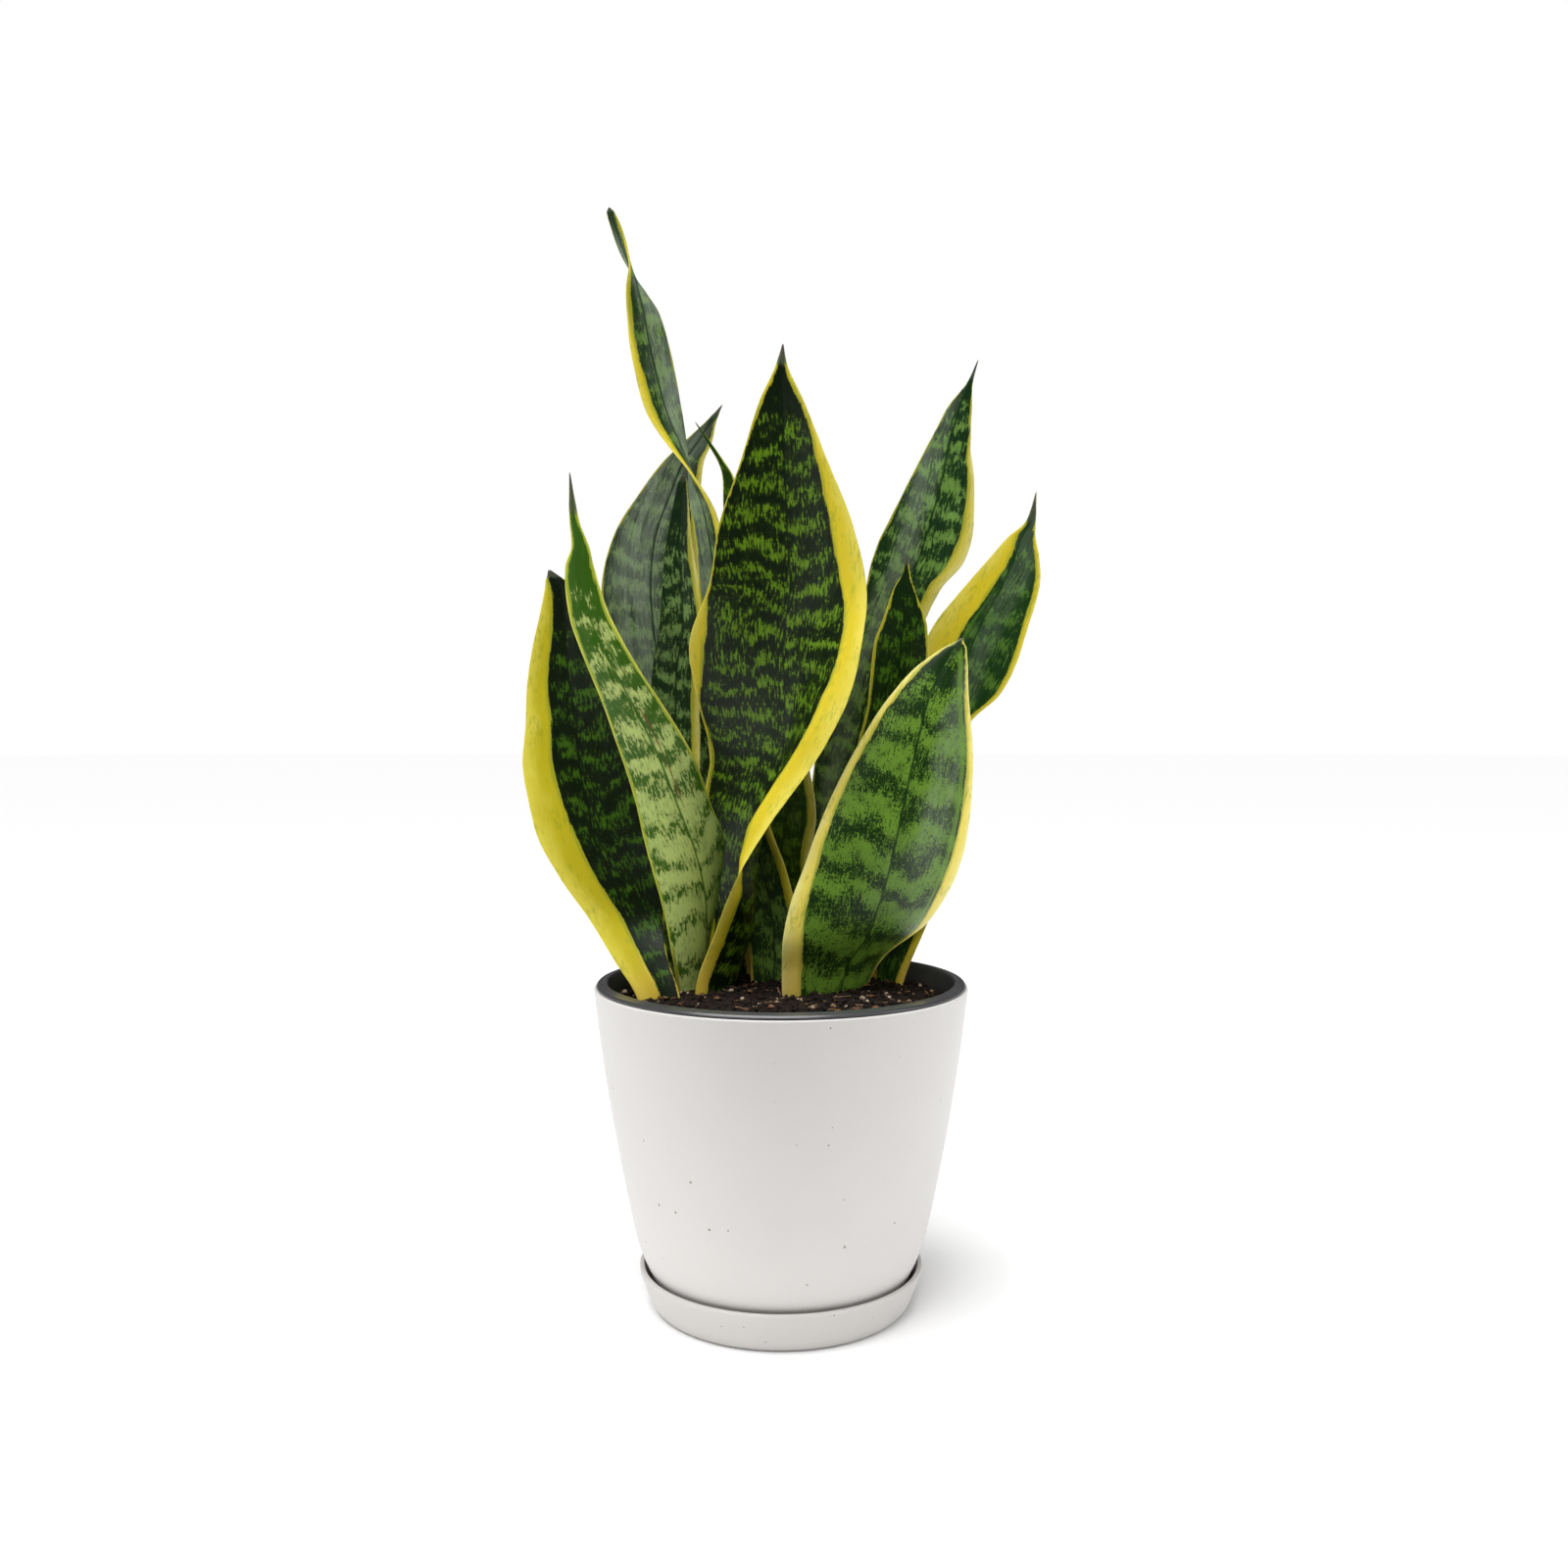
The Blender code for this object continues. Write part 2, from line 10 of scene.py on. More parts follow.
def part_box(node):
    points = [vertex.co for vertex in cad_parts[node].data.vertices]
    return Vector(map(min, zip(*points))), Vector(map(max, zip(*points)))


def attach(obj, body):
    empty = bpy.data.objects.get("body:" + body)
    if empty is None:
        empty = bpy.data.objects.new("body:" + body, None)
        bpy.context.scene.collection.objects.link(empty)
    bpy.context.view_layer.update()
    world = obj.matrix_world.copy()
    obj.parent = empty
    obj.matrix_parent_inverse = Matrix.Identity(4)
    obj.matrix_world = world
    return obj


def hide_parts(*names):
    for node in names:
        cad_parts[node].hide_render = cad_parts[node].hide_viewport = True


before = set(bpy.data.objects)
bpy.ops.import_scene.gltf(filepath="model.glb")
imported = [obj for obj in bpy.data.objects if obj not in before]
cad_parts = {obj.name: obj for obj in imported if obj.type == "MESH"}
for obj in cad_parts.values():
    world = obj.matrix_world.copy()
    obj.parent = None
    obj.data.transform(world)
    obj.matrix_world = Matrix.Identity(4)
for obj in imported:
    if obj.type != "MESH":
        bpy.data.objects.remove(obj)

mm = 0.001
sameSpot = 0.00001      # points closer than this are one point
sharpFrom = radians(40)
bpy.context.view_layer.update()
scene = bpy.context.scene


# small helpers
class Net:
    # the nodes of one material, around its Principled shader
    def __init__(self, name, **fixed):
        self.material = bpy.data.materials.new(name)
        self.material.use_nodes = True
        self.nodes = self.material.node_tree.nodes
        self.links = self.material.node_tree.links
        self.shader = self.nodes["Principled BSDF"]
        for socket, value in fixed.items():
            self.shader.inputs[socket.replace("_", " ")].default_value = value

    def node(self, kind, settings=None, inputs=None, out=0):
        made = self.nodes.new("ShaderNode" + kind)
        for key, value in (settings or {}).items():
            setattr(made, key, value)
        for key, value in (inputs or {}).items():
            if isinstance(value, Wire):
                self.links.new(value.socket, made.inputs[key])
            else:
                made.inputs[key].default_value = value
        return Wire(self, made.outputs[out])

    def mix(self, share, first, second):
        return self.node("Mix", {"data_type": "RGBA"},
                         {0: share, 6: colour(first), 7: colour(second)}, 2)

    def steps(self, value, low, high):
        return self.node("MapRange", {"interpolation_type": "SMOOTHSTEP"},
                         {"Value": value, "From Min": low, "From Max": high})

    def place(self, x, y, z):
        return self.node("CombineXYZ", None, {"X": x, "Y": y, "Z": z})

    def grain(self, where, scale, detail, rough):
        return self.node("TexNoise", None, {"Vector": where, "Scale": scale, "Detail": detail,
                                            "Roughness": rough})

    def cells(self, where, scale, out):
        return self.node("TexVoronoi", {"feature": "F1"}, {"Vector": where, "Scale": scale}, out)

    def attribute(self, name):
        vector = self.node("Attribute", {"attribute_name": name}, None, "Vector")
        return [self.node("SeparateXYZ", None, {"Vector": vector}, axis) for axis in "XYZ"]

    def objectPlace(self):
        return self.node("TexCoord", None, None, "Object")

    def bump(self, height, distance, strength):
        return self.node("Bump", None, {"Height": height, "Distance": distance,
                                        "Strength": strength})

    def feed(self, **wires):
        for socket, wire in wires.items():
            self.links.new(wire.socket, self.shader.inputs[socket.replace("_", " ")])
        return self.material


class Wire:
    # one socket's value, so that shader maths reads as plain arithmetic
    def __init__(self, net, socket):
        self.net, self.socket = net, socket

    def maths(self, operation, first, second=0.0):
        return self.net.node("Math", {"operation": operation}, {0: first, 1: second})

    def __add__(self, other): return self.maths("ADD", self, other)
    def __radd__(self, other): return self.maths("ADD", other, self)
    def __sub__(self, other): return self.maths("SUBTRACT", self, other)
    def __rsub__(self, other): return self.maths("SUBTRACT", other, self)
    def __mul__(self, other): return self.maths("MULTIPLY", self, other)
    def __truediv__(self, other): return self.maths("DIVIDE", self, other)
    def __abs__(self): return self.maths("ABSOLUTE", self)
    def sine(self): return self.maths("SINE", self)
    def most(self, other): return self.maths("MAXIMUM", self, other)


def colour(value):
    return (*value, 1.0) if isinstance(value, tuple) and len(value) == 3 else value


def toned(value, share):
    return tuple(channel * share for channel in value)


def toMesh(name, bm, materials, replaced=(), smooth=True):
    # a finished piece: its mesh, finish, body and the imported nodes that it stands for
    mesh = bpy.data.meshes.new(name)
    bm.to_mesh(mesh)
    bm.free()
    for material in materials:
        mesh.materials.append(material)
    if smooth:
        mesh.shade_smooth()
    piece = bpy.data.objects.new(name, mesh)
    scene.collection.objects.link(piece)
    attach(piece, "root")
    if replaced:
        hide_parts(*replaced)
    return piece


def spinProfile(bm, profile, steps):
    # turns (radius, height) points into a closed round body about the Z axis
    verts = [bm.verts.new((radius, 0.0, height)) for radius, height in profile]
    edges = [bm.edges.new(pair) for pair in zip(verts, verts[1:])]
    bmesh.ops.spin(bm, geom=verts + edges, cent=(0, 0, 0), axis=(0, 0, 1), angle=2 * pi,
                   steps=steps, use_merge=True)
    bmesh.ops.remove_doubles(bm, verts=bm.verts, dist=sameSpot)
    bmesh.ops.recalc_face_normals(bm, faces=bm.faces)


def rounded(points, size, steps):
    # rounds each inner corner of an open (radius, height) outline with a small arc, which takes
    # less than half of a short side
    most = 0.48
    out = [points[0]]
    for before, corner, after in zip(points, points[1:], points[2:]):
        corner, towards, away = Vector(corner), Vector(before), Vector(after)
        back, ahead = towards - corner, away - corner
        reach = min(size, back.length * most, ahead.length * most)
        start, end = corner + back.normalized() * reach, corner + ahead.normalized() * reach
        for step in range(steps + 1):
            share = step / steps
            out.append(tuple(start * (1 - share) ** 2 + corner * 2 * share * (1 - share)
                             + end * share ** 2))
    return out + [points[-1]]


# camera, floor and light
view = {
    "place": (0.0, -0.580, 0.239), "downTilt": 0.0296,
    "lens": 31.12, "sensor": 36.0, "shift": 0.0019,
}

cameraData = bpy.data.cameras.new("camera")
cameraData.lens = view["lens"]
cameraData.sensor_width = view["sensor"]
cameraData.shift_x = view["shift"]
camera = bpy.data.objects.new("camera", cameraData)
camera.location = view["place"]
camera.rotation_euler = (pi / 2 - view["downTilt"], 0.0, 0.0)
scene.collection.objects.link(camera)
scene.camera = camera
scene.view_settings.view_transform = "Standard"

studio = {
    "floorWide": 30.0, "floorFront": -0.36, "floorColour": (0.95, 0.95, 0.95),
    "white": (1.0, 1.0, 1.0), "backdrop": 1.0, "ambient": 0.07,
    "skyPower": 3.25, "skySpread": 50, "skyTilt": (12, -9),     # spread and tilt in degrees
}

bm = bmesh.new()
bmesh.ops.create_grid(bm, x_segments=1, y_segments=1, size=studio["floorWide"] / 2)
bmesh.ops.translate(bm, verts=bm.verts,
                    vec=(0, studio["floorFront"] + studio["floorWide"] / 2, 0))
floorMesh = bpy.data.meshes.new("floor")
bm.to_mesh(floorMesh)
bm.free()
floorNet = Net("paleFloor", Roughness=0.9, Specular_IOR_Level=0.1,
               Base_Color=colour(studio["floorColour"]))
floorMesh.materials.append(floorNet.material)
floor = bpy.data.objects.new("floor", floorMesh)
scene.collection.objects.link(floor)

world = bpy.data.worlds.new("studio")
world.use_nodes = True
sky = world.node_tree.nodes
seen = sky.new("ShaderNodeBackground")
for background, strength in ((sky["Background"], "ambient"), (seen, "backdrop")):
    background.inputs["Color"].default_value = colour(studio["white"])
    background.inputs["Strength"].default_value = studio[strength]
path, blend = sky.new("ShaderNodeLightPath"), sky.new("ShaderNodeMixShader")
join = world.node_tree.links.new
join(path.outputs["Is Camera Ray"], blend.inputs[0])
join(sky["Background"].outputs[0], blend.inputs[1])
join(seen.outputs[0], blend.inputs[2])
join(blend.outputs[0], sky["World Output"].inputs[0])
scene.world = world

sunData = bpy.data.lights.new("broadSky", "SUN")
sunData.energy, sunData.angle = studio["skyPower"], radians(studio["skySpread"])
sun = bpy.data.objects.new("broadSky", sunData)
sun.rotation_euler = (*(radians(tilt) for tilt in studio["skyTilt"]), 0.0)
scene.collection.objects.link(sun)

# Only the windows are mirrored in glossy faces.
softLights = {   # place, the point it faces, width, height, watts
    "windowLeft": ((-0.80, -1.05, 0.60), (0, 0, 0.25), 0.45, 1.2, 2.3),
    "sideLeft": ((-1.35, 0.10, 0.60), (0, 0, 0.25), 0.6, 1.1, 5.2),
    "windowRight": ((1.30, -0.30, 0.60), (0, 0, 0.25), 0.6, 1.1, 4.8),
    "sideRight": ((1.25, 0.15, 0.60), (0, 0, 0.25), 0.6, 1.1, 3.5),
    "frontSoft": ((-0.25, -1.9, 1.5), (0, 0, 0.2), 1.2, 0.8, 9.5),
}
for name, (place, target, width, height, watts) in softLights.items():
    data = bpy.data.lights.new(name, "AREA")
    data.shape = "RECTANGLE"
    data.size, data.size_y, data.energy = width, height, watts
    lamp = bpy.data.objects.new(name, data)
    lamp.location = place
    lamp.visible_glossy = name.startswith("window")
    lamp.rotation_euler = (Vector(target) - Vector(place)).to_track_quat("-Z", "Y").to_euler()
    scene.collection.objects.link(lamp)
print("camera, floor and lights set")


# the leaves' shapes
# A row is x, y and height over the soil of the midrib, blade width, facing and bend in degrees.
# A margin is a height, then the yellow edge's width on the left and on the right. Lengths in mm.
# A sheen is a painted grey highlight: its middle and reach across the blade, and its strength.
# A lane is a pale strip beside one yellow edge: which side, and its width. A scar is where along
# the leaf a brown line starts and ends, and how far it lies from the midrib.
# A flare is a height, how far the right margin folds out flat there (0 to 1) and its heading in
# degrees. A spike is the length of the dried tip.
leaves = {
    "broadMiddleLeaf": {
        "node": "leaf_broad_middle",
        "rows": [
            (-22, 21, -18, 42, -90, 190), (-22, 21, 0, 46, -90, 200), (-14, 24, 26, 61, -80, 170),
            (-13, 22, 52, 66, -68, 130), (-8, 16, 77, 69, -56, 105), (1, 12, 103, 72, -44, 88),
            (2, 7, 128, 80, -30, 75), (1, 2, 152, 82, -20, 65), (4, -2, 176, 70, -12, 58),
            (2.5, -5, 201, 58, -8, 52), (1.5, -8, 226, 38, -5, 48), (0.3, -10, 250, 20, 0, 45),
            (0.2, -11, 266, 5, 0, 30), (0.8, -11, 275, 1.4, 0, 10)],
        "margins": [
            (0, 5, 5), (30, 6, 6), (50, 8, 7.5), (65, 8, 9), (80, 3.5, 11), (92, 2, 12),
            (110, 1.5, 12), (128, 1.2, 13), (137, 4, 12), (147, 6.5, 11.5), (157, 7, 11),
            (165, 4, 11), (171, 1.5, 12), (180, 0.9, 12.5), (196, 0.8, 11), (212, 0.8, 8),
            (220, 0.8, 6), (228, 0.9, 4.5), (240, 1.0, 2.4), (250, 1.7, 2.0), (260, 1.7, 2.2),
            (267, 1.0, 1.0), (275, 0, 0)],
        "flares": [
            (44, 0, -70), (60, 0.8, -55), (74, 1, -40), (92, 1, -28), (110, 1, -22),
            (128, 0.8, -20), (150, 0.3, -20), (172, 0, -20)],
        "look": "deep", "spike": 9},
    "outerLeftLeaf": {
        "node": "leaf_outer_left",
        "rows": [
            (-52, -4, -18, 16, 0, 70), (-52, -4, 0, 19, 0, 60), (-60.8, 1, 17, 24, 12, 50),
            (-68, 8, 34, 34, 18, 45), (-73.5, 8, 50, 45, 16, 40), (-80.5, 6, 67, 49, 14, 38),
            (-84, 6, 83, 50, 12, 36), (-87.5, 6, 100, 48, 8, 34), (-88.5, 6, 116, 43, 4, 34),
            (-91, 6, 133, 37, 0, 34), (-92.5, 5, 149, 29, 0, 34), (-93, 3.5, 166, 20, 0, 30),
            (-95, 2.5, 176, 12, 0, 20), (-99, 2, 183, 3.5, 0, 10)],
        "margins": [
            (0, 10, 0.3), (17, 13, 0.3), (34, 15, 0.3), (67, 17, 0.3), (100, 13, 0.5),
            (128, 9.5, 0.8), (154, 7.5, 1), (168, 5, 1.2), (176, 2.5, 1), (183, 0, 0)],
        "look": "shaded", "spike": 4},
    "paleLeftLeaf": {
        "node": "leaf_pale_left",
        "rows": [
            (-35, 22, -18, 28, 90, -140), (-36, 21, 0, 32, 88, -140), (-34, 16, 21, 38, 70, -120),
            (-34, 12, 42, 42, 52, -95), (-38, 7, 63, 42, 35, -70), (-45, 2, 83, 35, 22, -50),
            (-52, -4, 103, 32, 12, -40), (-61, -11, 123, 26, 6, -35), (-71, -18, 143, 21, 3, -35),
            (-79, -21, 162, 17, 0, -30), (-82.5, -23, 181, 12, 0, -25),
            (-82, -24, 189, 7.5, 0, -20), (-84.4, -24, 200, 4, 0, -20),
            (-86, -25, 219, 1.2, 0, -10)],
        "margins": [
            (0, 1.2, 1.2), (60, 1.2, 1.2), (103, 1.3, 1.8), (143, 1.6, 1.9), (162, 1.9, 2.1),
            (181, 1.8, 1.5), (189, 1.4, 1.2), (219, 0.3, 0.3)],
        "scar": (100, 153, 2.5), "look": "pale", "spike": 17},
    "broadBackLeftLeaf": {
        "node": "leaf_broad_back_left",
        "rows": [
            (-25, 54, -18, 22, 0, 50), (-25, 54, 0, 26, 0, 45), (-31, 51, 30, 31, 0, 42),
            (-38, 48, 60, 37, 0, 40), (-47, 43, 100, 43, 0, 38), (-55, 38, 140, 46, 0, 36),
            (-58.5, 35, 170, 45, 0, 34), (-58.5, 34, 187, 43, 0, 34), (-56, 33, 204, 37, 0, 32),
            (-50, 32, 220, 28, 0, 30), (-44, 31, 234, 19, 0, 26), (-37, 31, 244, 12.5, 0, 22),
            (-31, 30, 253, 4.5, 0, 16), (-26.3, 30, 260, 1.2, 0, 8)],
        "margins": [
            (0, 2, 4), (100, 1.5, 5), (170, 1.0, 4.5), (204, 0.8, 3), (234, 0.8, 2.6),
            (250, 0.7, 1.2), (260, 0.2, 0.2)],
        "paintedSheen": (-7, 18, 0.52), "look": "greyed", "spike": 8},
    "stubBackLeftLeaf": {
        "node": "leaf_stub_back_left",
        "rows": [
            (-46, 40, -18, 16, 25, 60), (-46, 40, 0, 18, 25, 60), (-48, 37, 30, 22, 15, 55),
            (-49, 32, 70, 24, 8, 50), (-47.5, 29, 110, 23, 4, 50), (-46.5, 25, 140, 22, 0, 50),
            (-43.5, 20.5, 160, 21, 0, 50), (-44, 19.5, 178, 17, 0, 50),
            (-44.8, 18.5, 196, 12, 0, 50), (-44, 17, 210, 8, 0, 50), (-43.3, 16.5, 220, 5, 0, 50),
            (-42.8, 16, 226, 3, 0, 30)],
        "margins": [(0, -2, 4), (140, -2, 4), (178, -2, 3.2), (205, -1.5, 1.6), (226, -1, 0)],
        "look": "greyed", "spike": 3},
    "twistedTallLeaf": {
        "node": "leaf_twisted_tall",
        "rows": [
            (-3, 33, -18, 20, 0, 60), (-3, 33, 0, 22, 0, 60), (-3.4, 35.3, 24, 24.4, 0, 50),
            (-8.2, 37.4, 50, 22, 0, 30), (-16, 36, 74, 21, 0, 25), (-20, 32, 95, 22, 0, 25),
            (-23, 25, 120, 21, 0, 30), (-26, 17.5, 150, 17, -4, 35),
            (-28.5, 12, 180, 15, -10, 35), (-30.5, 9, 195, 13, -20, 35),
            (-33, 7, 209, 14, -40, 35), (-38, 5, 223, 16, -82, 35), (-44, 4, 237, 17, -122, 35),
            (-49.5, 3, 251, 18, -150, 35), (-53, 2, 265, 17.5, -168, 35),
            (-56, 1, 279, 17, -176, 35), (-58.4, 0, 292, 14, -170, 32),
            (-61, -1, 301, 10, -140, 30), (-63.3, -2, 309, 7.5, -88, 30),
            (-66.3, -3.5, 317, 6, -45, 25), (-69, -4.5, 325, 5, -20, 20),
            (-71.3, -5, 331, 3.6, -10, 15), (-72, -5, 333.4, 1.8, -10, 10)],
        "margins": [
            (0, 1, 4), (60, 1, 3.6), (150, 1, 3.0), (195, 0.8, 3.0), (223, 0.4, 3.6),
            (237, 0.3, 4.0), (258, 0.3, 4.2), (279, 0.3, 3.0), (292, 0.3, 2.2), (309, 0.3, 1.6),
            (325, 0.3, 1.3), (333.4, 0, 0)],
        "paintedSheen": (-4, 8, 0.5), "look": "tall", "spike": 2},
    "slenderBackLeaf": {
        "node": "leaf_slender_back",
        "rows": [
            (3, 53, -18, 18, 0, 60), (3, 53, 0, 22, 0, 60), (2, 50, 30, 26, 0, 50),
            (0, 46, 55, 27, 0, 45), (2, 44, 75, 29, 0, 40), (-1, 41, 99, 28, 0, 38),
            (-5, 37, 120, 25, 0, 36), (-9.5, 33, 145, 21, 0, 34), (-15, 28, 170, 16, 0, 32),
            (-19, 24, 195, 11, 0, 30), (-21.5, 21, 214, 8, 0, 25), (-23.3, 20, 226, 5, 0, 20),
            (-26, 19, 232, 3, 0, 15), (-31.8, 18.5, 241, 1.8, 0, 10),
            (-37.5, 18, 249.5, 1, 0, 5)],
        "margins": [
            (0, 1, 4), (75, 1, 4.2), (120, 0.8, 3.5), (195, 0.4, 1.4), (226, 0.3, 0.8),
            (249, 0, 0)],
        "look": "olive", "spike": 1},
    "frontRightLeaf": {
        "node": "leaf_front_right",
        "rows": [
            (23, 12, -18, 48, 43, -60), (25, 9, 0, 56, 43, -60), (28.5, 6, 13, 62, 38, -58),
            (37, 0, 27, 76, 30, -55), (42, -4, 42, 77, 22, -52), (46, -6, 56, 74, 16, -50),
            (49, -8, 70, 70, 12, -48), (52, -8, 84, 64, 8, -46), (55, -8, 98, 57, 5, -44),
            (58.3, -7, 112, 48, 3, -40), (62, -5, 126, 37, 0, -36), (68, -2, 140, 24, 0, -30),
            (73, 0, 148, 13, 0, -20), (77.6, 2, 154, 2.5, 0, -10)],
        "margins": [
            (0, 8, 4), (12, 8.5, 6), (25, 8.6, 8), (40, 7.5, 9), (55, 5.8, 8), (70, 5.2, 6.5),
            (85, 4.6, 4.6), (100, 4.2, 3.6), (120, 3.6, 2.8), (133, 3.4, 2.0), (143, 2.6, 1.2),
            (154, 0.8, 0.6)],
        "lane": (1, 2.6), "paintedSheen": (16, 12, 0.24), "look": "lit", "spike": 2},
    "backRightLeaf": {
        "node": "leaf_back_right",
        "rows": [
            (31, 47, -18, 19, -25, 55), (31, 47, 0, 22, -25, 50), (30, 48, 30, 26, -20, 48),
            (30, 48, 70, 34, -8, 42), (35, 46, 110, 36, -4, 42), (42, 42, 140, 33, 0, 40),
            (49, 40, 160, 30, 0, 38), (55.5, 38.5, 179, 35, 0, 38), (61, 38, 189, 42, 0, 36),
            (65, 37.5, 200, 42.5, 0, 34), (68, 37, 210, 38.5, 0, 32),
            (70.7, 37, 220, 33.5, 0, 30), (73, 36, 230, 28, 0, 28), (75, 36, 240, 21.5, 0, 26),
            (77.8, 35, 251, 15.5, 0, 24), (80.7, 35, 261, 10.5, 0, 20),
            (84.9, 34, 271, 2.6, 0, 12), (88.5, 34, 281, 1, 0, 5)],
        "margins": [
            (0, 1, 3), (110, 0.8, 4), (160, 0.7, 5), (180, 0.7, 6.7), (191, 0.7, 7.5),
            (202, 0.7, 5.4), (213, 0.7, 4.3), (224, 0.7, 3.4), (235, 0.7, 2.7), (250, 0.8, 1.0),
            (262, 0.8, 0.8), (272, 0.2, 0.3), (281, 0, 0)],
        "paintedSheen": (-8, 9, 0.36), "look": "sheeny", "spike": 9},
    "farRightLeaf": {
        "node": "leaf_far_right",
        "rows": [
            (49, 38, -18, 18, -35, 50), (49, 38, 0, 18.8, -35, 50), (55, 36, 33, 29, -15, 45),
            (60, 35, 70, 34, -5, 42), (62, 34.5, 98, 35, 0, 40), (66.5, 33.5, 118, 38, 0, 38),
            (76, 32.5, 130, 44, 0, 36), (82, 31.5, 143, 46, 0, 36), (89.5, 30, 162, 43, 0, 34),
            (96, 29.5, 174, 37, 0, 32), (100.2, 29.5, 182, 31.5, 0, 30),
            (104.3, 29, 192, 22, 0, 26), (107.5, 29, 201, 12.5, 0, 22),
            (111.5, 28.5, 208, 4.5, 0, 15), (113.8, 28, 221, 1, 0, 5)],
        "margins": [
            (0, 4, 4), (33, 6, 4), (98, 9, 2.6), (130, 13, 2.8), (155, 15, 2.8), (169, 15, 2.8),
            (187, 11.5, 2.4), (196, 7.5, 2.0), (203, 3, 1.0), (209, 0.4, 0.4), (221, 0, 0)],
        "lane": (-1, 2.4), "paintedSheen": (5, 9, 0.16), "look": "rich", "spike": 14},
    "smallRightLeaf": {
        "node": "leaf_small_right",
        "rows": [
            (22, 28, -18, 17, 20, 60), (22, 28, 0, 20, 20, 60), (32, 26, 35, 23, 12, 55),
            (40, 22, 70, 25, 6, 52), (46, 18.5, 107, 26, 0, 50), (50, 17, 123, 26, 0, 48),
            (51.5, 15, 138, 26, 0, 46), (52.3, 14, 153, 24, 0, 44), (53.4, 13, 161, 20, 0, 40),
            (53.5, 12, 168, 15, 0, 34), (53.3, 11, 176, 9, 0, 28), (54.4, 11, 183, 3.2, 0, 16),
            (54.7, 10, 191, 1, 0, 5)],
        "margins": [
            (0, 1, 1), (107, 1.2, 1.0), (153, 1.5, 1.0), (168, 1.1, 0.6), (178, 0.6, 0.3),
            (191, 0, 0)],
        "look": "night", "spike": 5},
}

leafShape = {   # lengths in mm
    "thickness": 3.0, "tipShare": 0.35,      # at the base, and the share of it left at the tip
    "sides": 56, "stepsPerRow": 12,
    "tipClosed": 0.3, "tipSteps": 8, "tipCurve": 0.6,        # how the last steps close up
    "crease": 0.35, "creaseWidth": 1.6,      # the fold along the midrib
    "wave": 0.55, "waveLength": 26.0,        # the edges' slow wave
    "ripple": 0.2, "rippleLength": 6.0,      # and the quick one on top
    "calmWidth": 20.0, "calmBase": 12.0, "calmReach": 45.0,  # narrow and low stretches wave less
    "waveDrift": 0.5, "rippleDrift": 0.6, "driftWidth": 4.0,     # sideways, as shares of those
    # where the noise is read: the step from leaf to leaf, then the right and the left edge
    "waveRows": (3.7, 7.0, 2.0), "rippleRows": (5.1, 4.0, 9.0), "backRow": (0, 9, 0),
}

soilMound = 1.5 * mm        # how far the soil's middle stands over its rim
soilLow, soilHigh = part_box("soil")
soilRadius = soilHigh.x
soilTop = soilHigh.z - soilMound


def bladeRow(rows, place):
    # the row at a place along the leaf, on a smooth curve through them all
    first = min(int(place), len(rows) - 2)
    share = place - first
    near, far = rows[first], rows[first + 1]
    before, after = rows[max(first - 1, 0)], rows[min(first + 2, len(rows) - 1)]
    reach = np.linalg.norm((far - near)[:3])
    leave = (far - before) * reach / (reach + np.linalg.norm((near - before)[:3]))
    arrive = (after - near) * reach / (reach + np.linalg.norm((after - far)[:3]))
    square, cube = share ** 2, share ** 3
    return (near * (2 * cube - 3 * square + 1) + leave * (cube - 2 * square + share)
            + far * (3 * square - 2 * cube) + arrive * (cube - square))


def layOut(shape):
    # closely spaced rows from base to tip, each with its thickness, and the length run up to each
    rows = np.array(shape["rows"], dtype=float)
    share = (rows[:, 2] - rows[0, 2]) / (rows[-1, 2] - rows[0, 2])
    thickness = leafShape["thickness"] * (1 - (1 - leafShape["tipShare"]) * share)
    rows = np.column_stack((rows, thickness))
    perRow = leafShape["stepsPerRow"]
    stations = [bladeRow(rows, step / perRow) for step in range((len(rows) - 1) * perRow + 1)]
    runs = [0.0]
    for first, second in zip(stations, stations[1:]):
        runs.append(runs[-1] + float(np.linalg.norm((second - first)[:3])))
    return stations, runs


def edgeWave(run, z, width, across, seed):
    # how far the edges drift in and out here and how far they wave to the front and back, and
    # how freely the blade moves
    def noiseAt(length, rows):
        perLeaf, right, left = leafShape[rows]
        spot = Vector((run / leafShape[length], seed * perLeaf, right if across > 0 else left))
        return noise.noise(spot), noise.noise(spot + Vector(leafShape["backRow"]))

    slowIn, slowBack = noiseAt("waveLength", "waveRows")
    quickIn, quickBack = noiseAt("rippleLength", "rippleRows")
    above = (z - leafShape["calmBase"]) / leafShape["calmReach"]
    free = min(width / leafShape["calmWidth"], 1.0) * min(max(above, 0.0), 1.0)
    drift = (slowIn * leafShape["wave"] * leafShape["waveDrift"]
             + quickIn * leafShape["ripple"] * leafShape["rippleDrift"])
    wave = slowBack * leafShape["wave"] + quickBack * leafShape["ripple"]
    return drift * free, wave * abs(across) ** 3 * free, free


def flareShift(shape, z, along, width, radius, side, front):
    # folds the right margin out flat about its outer edge, and eases the blade beside it along
    heights, shares, headings = zip(*shape["flares"])
    share = float(np.interp(z, heights, shares))
    if share <= 0 or along <= 0:
        return Vector((0, 0, 0))
    levels, _, rights = zip(*shape["margins"])
    margin = float(np.interp(z, levels, rights))
    heading = radians(float(np.interp(z, heights, headings)))

    def onArc(reach):
        return side * radius * sin(reach / radius) + front * radius * (1 - cos(reach / radius))
    inner = width / 2 - margin
    flat = Vector((cos(heading), sin(heading), 0.0))
    if along >= inner:
        return (onArc(width / 2) - flat * (width / 2 - along) - onArc(along)) * share
    ease = along / inner
    return (onArc(width / 2) - flat * margin - onArc(inner)) * share * ease ** 2 * (3 - 2 * ease)


